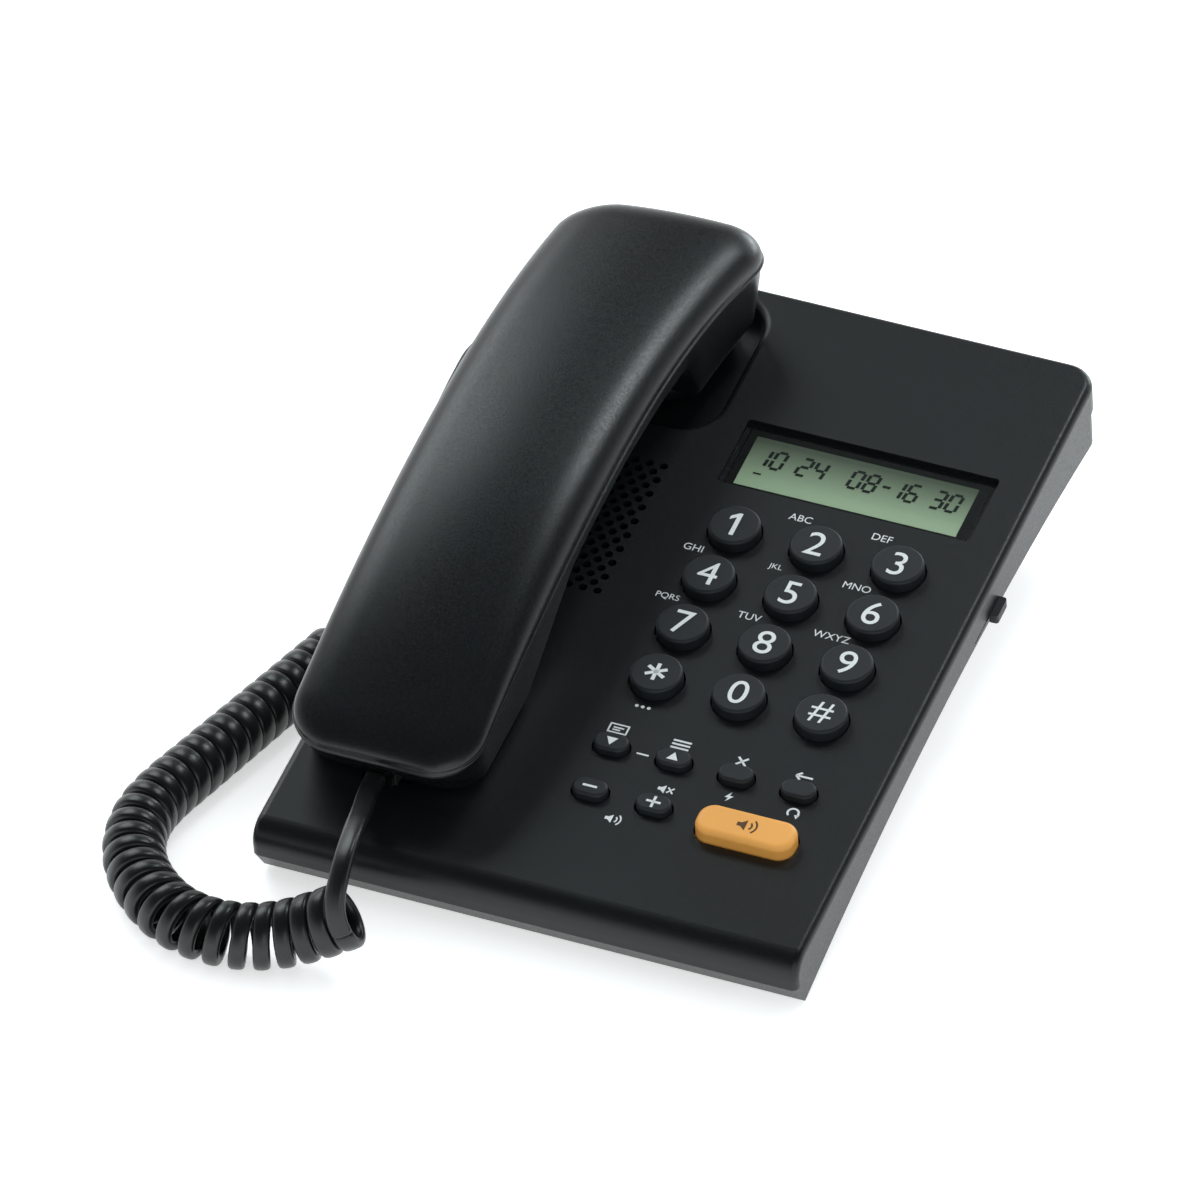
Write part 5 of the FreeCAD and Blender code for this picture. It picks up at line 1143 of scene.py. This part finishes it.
class PHONE_OT_legends(bpy.types.Operator):
    """Print the figures, letters and signs on the keys and the deck"""

    bl_idname = "phone.legends"
    bl_label = "Legends"

    def execute(self, context):
        letter = sizes().letter_height / MM
        deck_marks = []
        for node, words, column, row, letters in LEGENDS:
            x, y = COLUMNS[column], ROWS[row]
            print_on(f"{node}_legend", [(self.figure(words), x, y)], KEY_TOP, f"body_{node}")
            if letters:
                deck_marks.append((flat_text(letters, letter), x + LETTERS_X, y + LETTERS_Y))
        self.small_keys()
        points, faces = self.horn()
        print_on("speakerphone_key_legend", [((points * ORANGE_HORN, faces), *ORANGE_KEY)],
                 ORANGE_TOP, "body_speakerphone_key", "dark_ink", "key_orange")
        print_on("deck_legends", deck_marks + self.deck_signs(), 0.0, "base", slot="cabinet")
        return {"FINISHED"}

    def figure(self, words):
        """The mark on a dial key: three crossed strokes for the star, an outline for 1, or text."""
        height = sizes().digit_height / MM
        if words == "*":
            angle = np.radians((90, 30, 150))
            arms = STAR_ARM * np.stack([np.cos(angle), np.sin(angle)], -1)
            return shape_of(*(bar(*-arm, *arm, STAR_WIDTH) for arm in arms))
        if words == "1":
            return shape_of(np.array(ONE) * height)
        return flat_text(words, height * (HASH_SHARE if words == "#" else 1.0))

    def small_keys(self):
        """Triangles on the scroll keys, minus and plus on the volume keys."""
        flat = bar(-1.9, 0, 1.9, 0, THICK_LINE)
        marks = (
            shape_of([(-1.5, 1.2), (0, -1.4), (1.5, 1.2)]),
            shape_of([(-1.5, -1.2), (1.5, -1.2), (0, 1.4)]),
            shape_of(flat),
            shape_of(flat, bar(0, -1.9, 0, 1.9, THICK_LINE)),
        )
        places = [(x, FUNCTION_Y) for x in FUNCTION_X[:2]] + [(x, VOLUME_Y) for x in VOLUME_X]
        for node, mark, place in zip((*FUNCTION_KEYS[:2], *VOLUME_KEYS), marks, places):
            print_on(f"{node}_legend", [(mark, *place)], OVAL_TOP, f"body_{node}")

    def horn(self):
        """Loudspeaker sign with two sound waves."""
        return shape_of(HORN_BODY, *(bow(0.1, 0, radius, -50, 50, 0.4) for radius in (1.1, 2.1)))

    def deck_signs(self):
        """Plain signs beside the small keys, with their places on the deck."""
        card = shape_of(*(bar(*ends, THIN_LINE) for ends in (
            (-2.6, 1.4, 2.6, 1.4), (-2.6, -1.4, 2.6, -1.4), (-2.4, -1.4, -2.4, 1.4),
            (2.4, -1.4, 2.4, 1.4), (-1.4, 0.3, 1.4, 0.3), (-1.4, -0.5, 0.6, -0.5))))
        lines = shape_of(*(bar(-2.4, h, 2.4, h, SIGN_LINE) for h in (-1.2, 0, 1.2)))
        cross = shape_of(*(bar(-1.3, h, 1.3, -h, SIGN_LINE) for h in (-1.3, 1.3)))
        back = shape_of(bar(-2.2, 0, 2.2, 0, SIGN_LINE),
                        *(bar(-2.2, 0, -0.9, h, SIGN_LINE) for h in (1.2, -1.2)))
        bolt = shape_of([(0.3, 1.7), (-1.1, -0.3), (-0.1, -0.3), (-0.5, -1.7), (1.1, 0.4),
                         (0.1, 0.4)])
        again = shape_of(bow(0, 0, 1.4, -40, 230, 0.55, 16),
                         [(1.9, -0.2), (0.5, -0.6), (1.3, -1.8)])
        mute = shape_of(HORN_BODY, *(bar(0.6, h, 2.2, -h, THIN_LINE) for h in (-0.9, 0.9)))
        dash = shape_of(bar(-1.6, 0, 1.6, 0, 0.5))
        dots = shape_of(*(bow(x, 0, 0.25, 0, 360, 0.5, 13) for x in (-1.6, 0, 1.6)))
        return [
            (card, FUNCTION_X[0] - 0.6, FUNCTION_Y + 6.2),
            (lines, FUNCTION_X[1] - 0.4, FUNCTION_Y + 6.0),
            (cross, FUNCTION_X[2] - 0.6, FUNCTION_Y + 5.6),
            (back, FUNCTION_X[3] - 0.6, FUNCTION_Y + 5.6),
            (bolt, FUNCTION_X[2] + 0.6, FUNCTION_Y - 6.6),
            (again, FUNCTION_X[3] + 1.0, FUNCTION_Y - 6.6),
            (mute, VOLUME_X[1] + 0.4, VOLUME_Y + 6.6),
            (self.horn(), sum(VOLUME_X) / 2, VOLUME_Y - 6.8),
            (dash, sum(FUNCTION_X[:2]) / 2, FUNCTION_Y),
            (dots, COLUMNS[0], ROWS[0] - 9.6),
        ]


class PHONE_OT_display(bpy.types.Operator):
    """Write plain figures on the display"""

    bl_idname = "phone.display"
    bl_label = "Display"

    def execute(self, context):
        self.mask()
        x, y = WINDOW[0] + FIGURES_X, WINDOW[1] + FIGURES_Y
        parts = []
        for sign in FIGURES:
            parts += [(self.stroke(name), x, y) for name in SEGMENTS[sign]]
            x += FIGURE_STEP if sign.isdigit() else SPACE_STEP
        mark = shape_of(bar(0, 0, DAY_MARK_LENGTH, 0, SIGN_LINE))
        parts.append((mark, WINDOW[0] + DAY_MARK[0], WINDOW[1] + DAY_MARK[1]))
        print_on("display_figures", parts, FIGURE_LEVEL, "base", "display_ink", "display_glass")
        return {"FINISHED"}

    def stroke(self, name):
        """One of a figure's seven strokes, kept short of its neighbours and leaning right."""
        wide, tall = FIGURE_WIDTH, FIGURE_HEIGHT
        ends = {
            "a": (0, tall, wide, tall), "b": (wide, tall, wide, tall / 2),
            "c": (wide, tall / 2, wide, 0), "d": (0, 0, wide, 0), "e": (0, 0, 0, tall / 2),
            "f": (0, tall / 2, 0, tall), "g": (0, tall / 2, wide, tall / 2),
        }
        start, end = np.array(ends[name], float).reshape(2, 2)
        gap = unit(end - start) * STROKE_GAP
        line = np.array(bar(*(start + gap), *(end - gap), FIGURE_LINE))
        line[:, 0] += line[:, 1] * FIGURE_LEAN
        return shape_of(line)

    def mask(self):
        """Dark print round the figures: four strips between two rectangles."""
        (a, b, c, d), (e, f, g, h) = MASK_OUTER, MASK_INNER
        strips = [[(x0, y0), (x1, y0), (x1, y1), (x0, y1)]
                  for x0, y0, x1, y1 in ((a, b, c, f), (a, h, c, d), (a, f, e, h), (g, f, c, h))]
        print_on("display_mask", [(shape_of(*strips), *WINDOW)], MASK_LEVEL, "base", "mask_ink",
                 "display_glass")


class PHONE_PT_panel(bpy.types.Panel):
    """Lists the sizes, the colours and the steps that dress the phone"""

    bl_idname = "PHONE_PT_panel"
    bl_label = "Desk Phone"
    bl_space_type = "VIEW_3D"
    bl_region_type = "UI"
    bl_category = "Desk Phone"

    def draw(self, context):
        for group in (context.scene.phone_sizes, context.scene.phone_colours):
            for name in group.bl_rna.properties.keys():
                if name not in ("rna_type", "name"):
                    self.layout.prop(group, name)
        for step in STEPS:
            self.layout.operator(step.bl_idname)


STEPS = (PHONE_OT_stage, PHONE_OT_cord, PHONE_OT_handset, PHONE_OT_mat, PHONE_OT_legends,
         PHONE_OT_display, PHONE_OT_finishes)
CLASSES = (PhoneSizes, PhoneColours, *STEPS, PHONE_PT_panel)


def register():
    for item in CLASSES:
        bpy.utils.register_class(item)
    bpy.types.Scene.phone_sizes = bpy.props.PointerProperty(type=PhoneSizes)
    bpy.types.Scene.phone_colours = bpy.props.PointerProperty(type=PhoneColours)


def unregister():
    del bpy.types.Scene.phone_colours
    del bpy.types.Scene.phone_sizes
    for item in reversed(CLASSES):
        bpy.utils.unregister_class(item)


def main():
    register()
    bpy.ops.phone.stage()
    bpy.ops.phone.cord()
    bpy.ops.phone.handset()
    bpy.ops.phone.mat()
    bpy.ops.phone.legends()
    bpy.ops.phone.display()
    bpy.ops.phone.finishes()


if __name__ == "__main__":
    main()
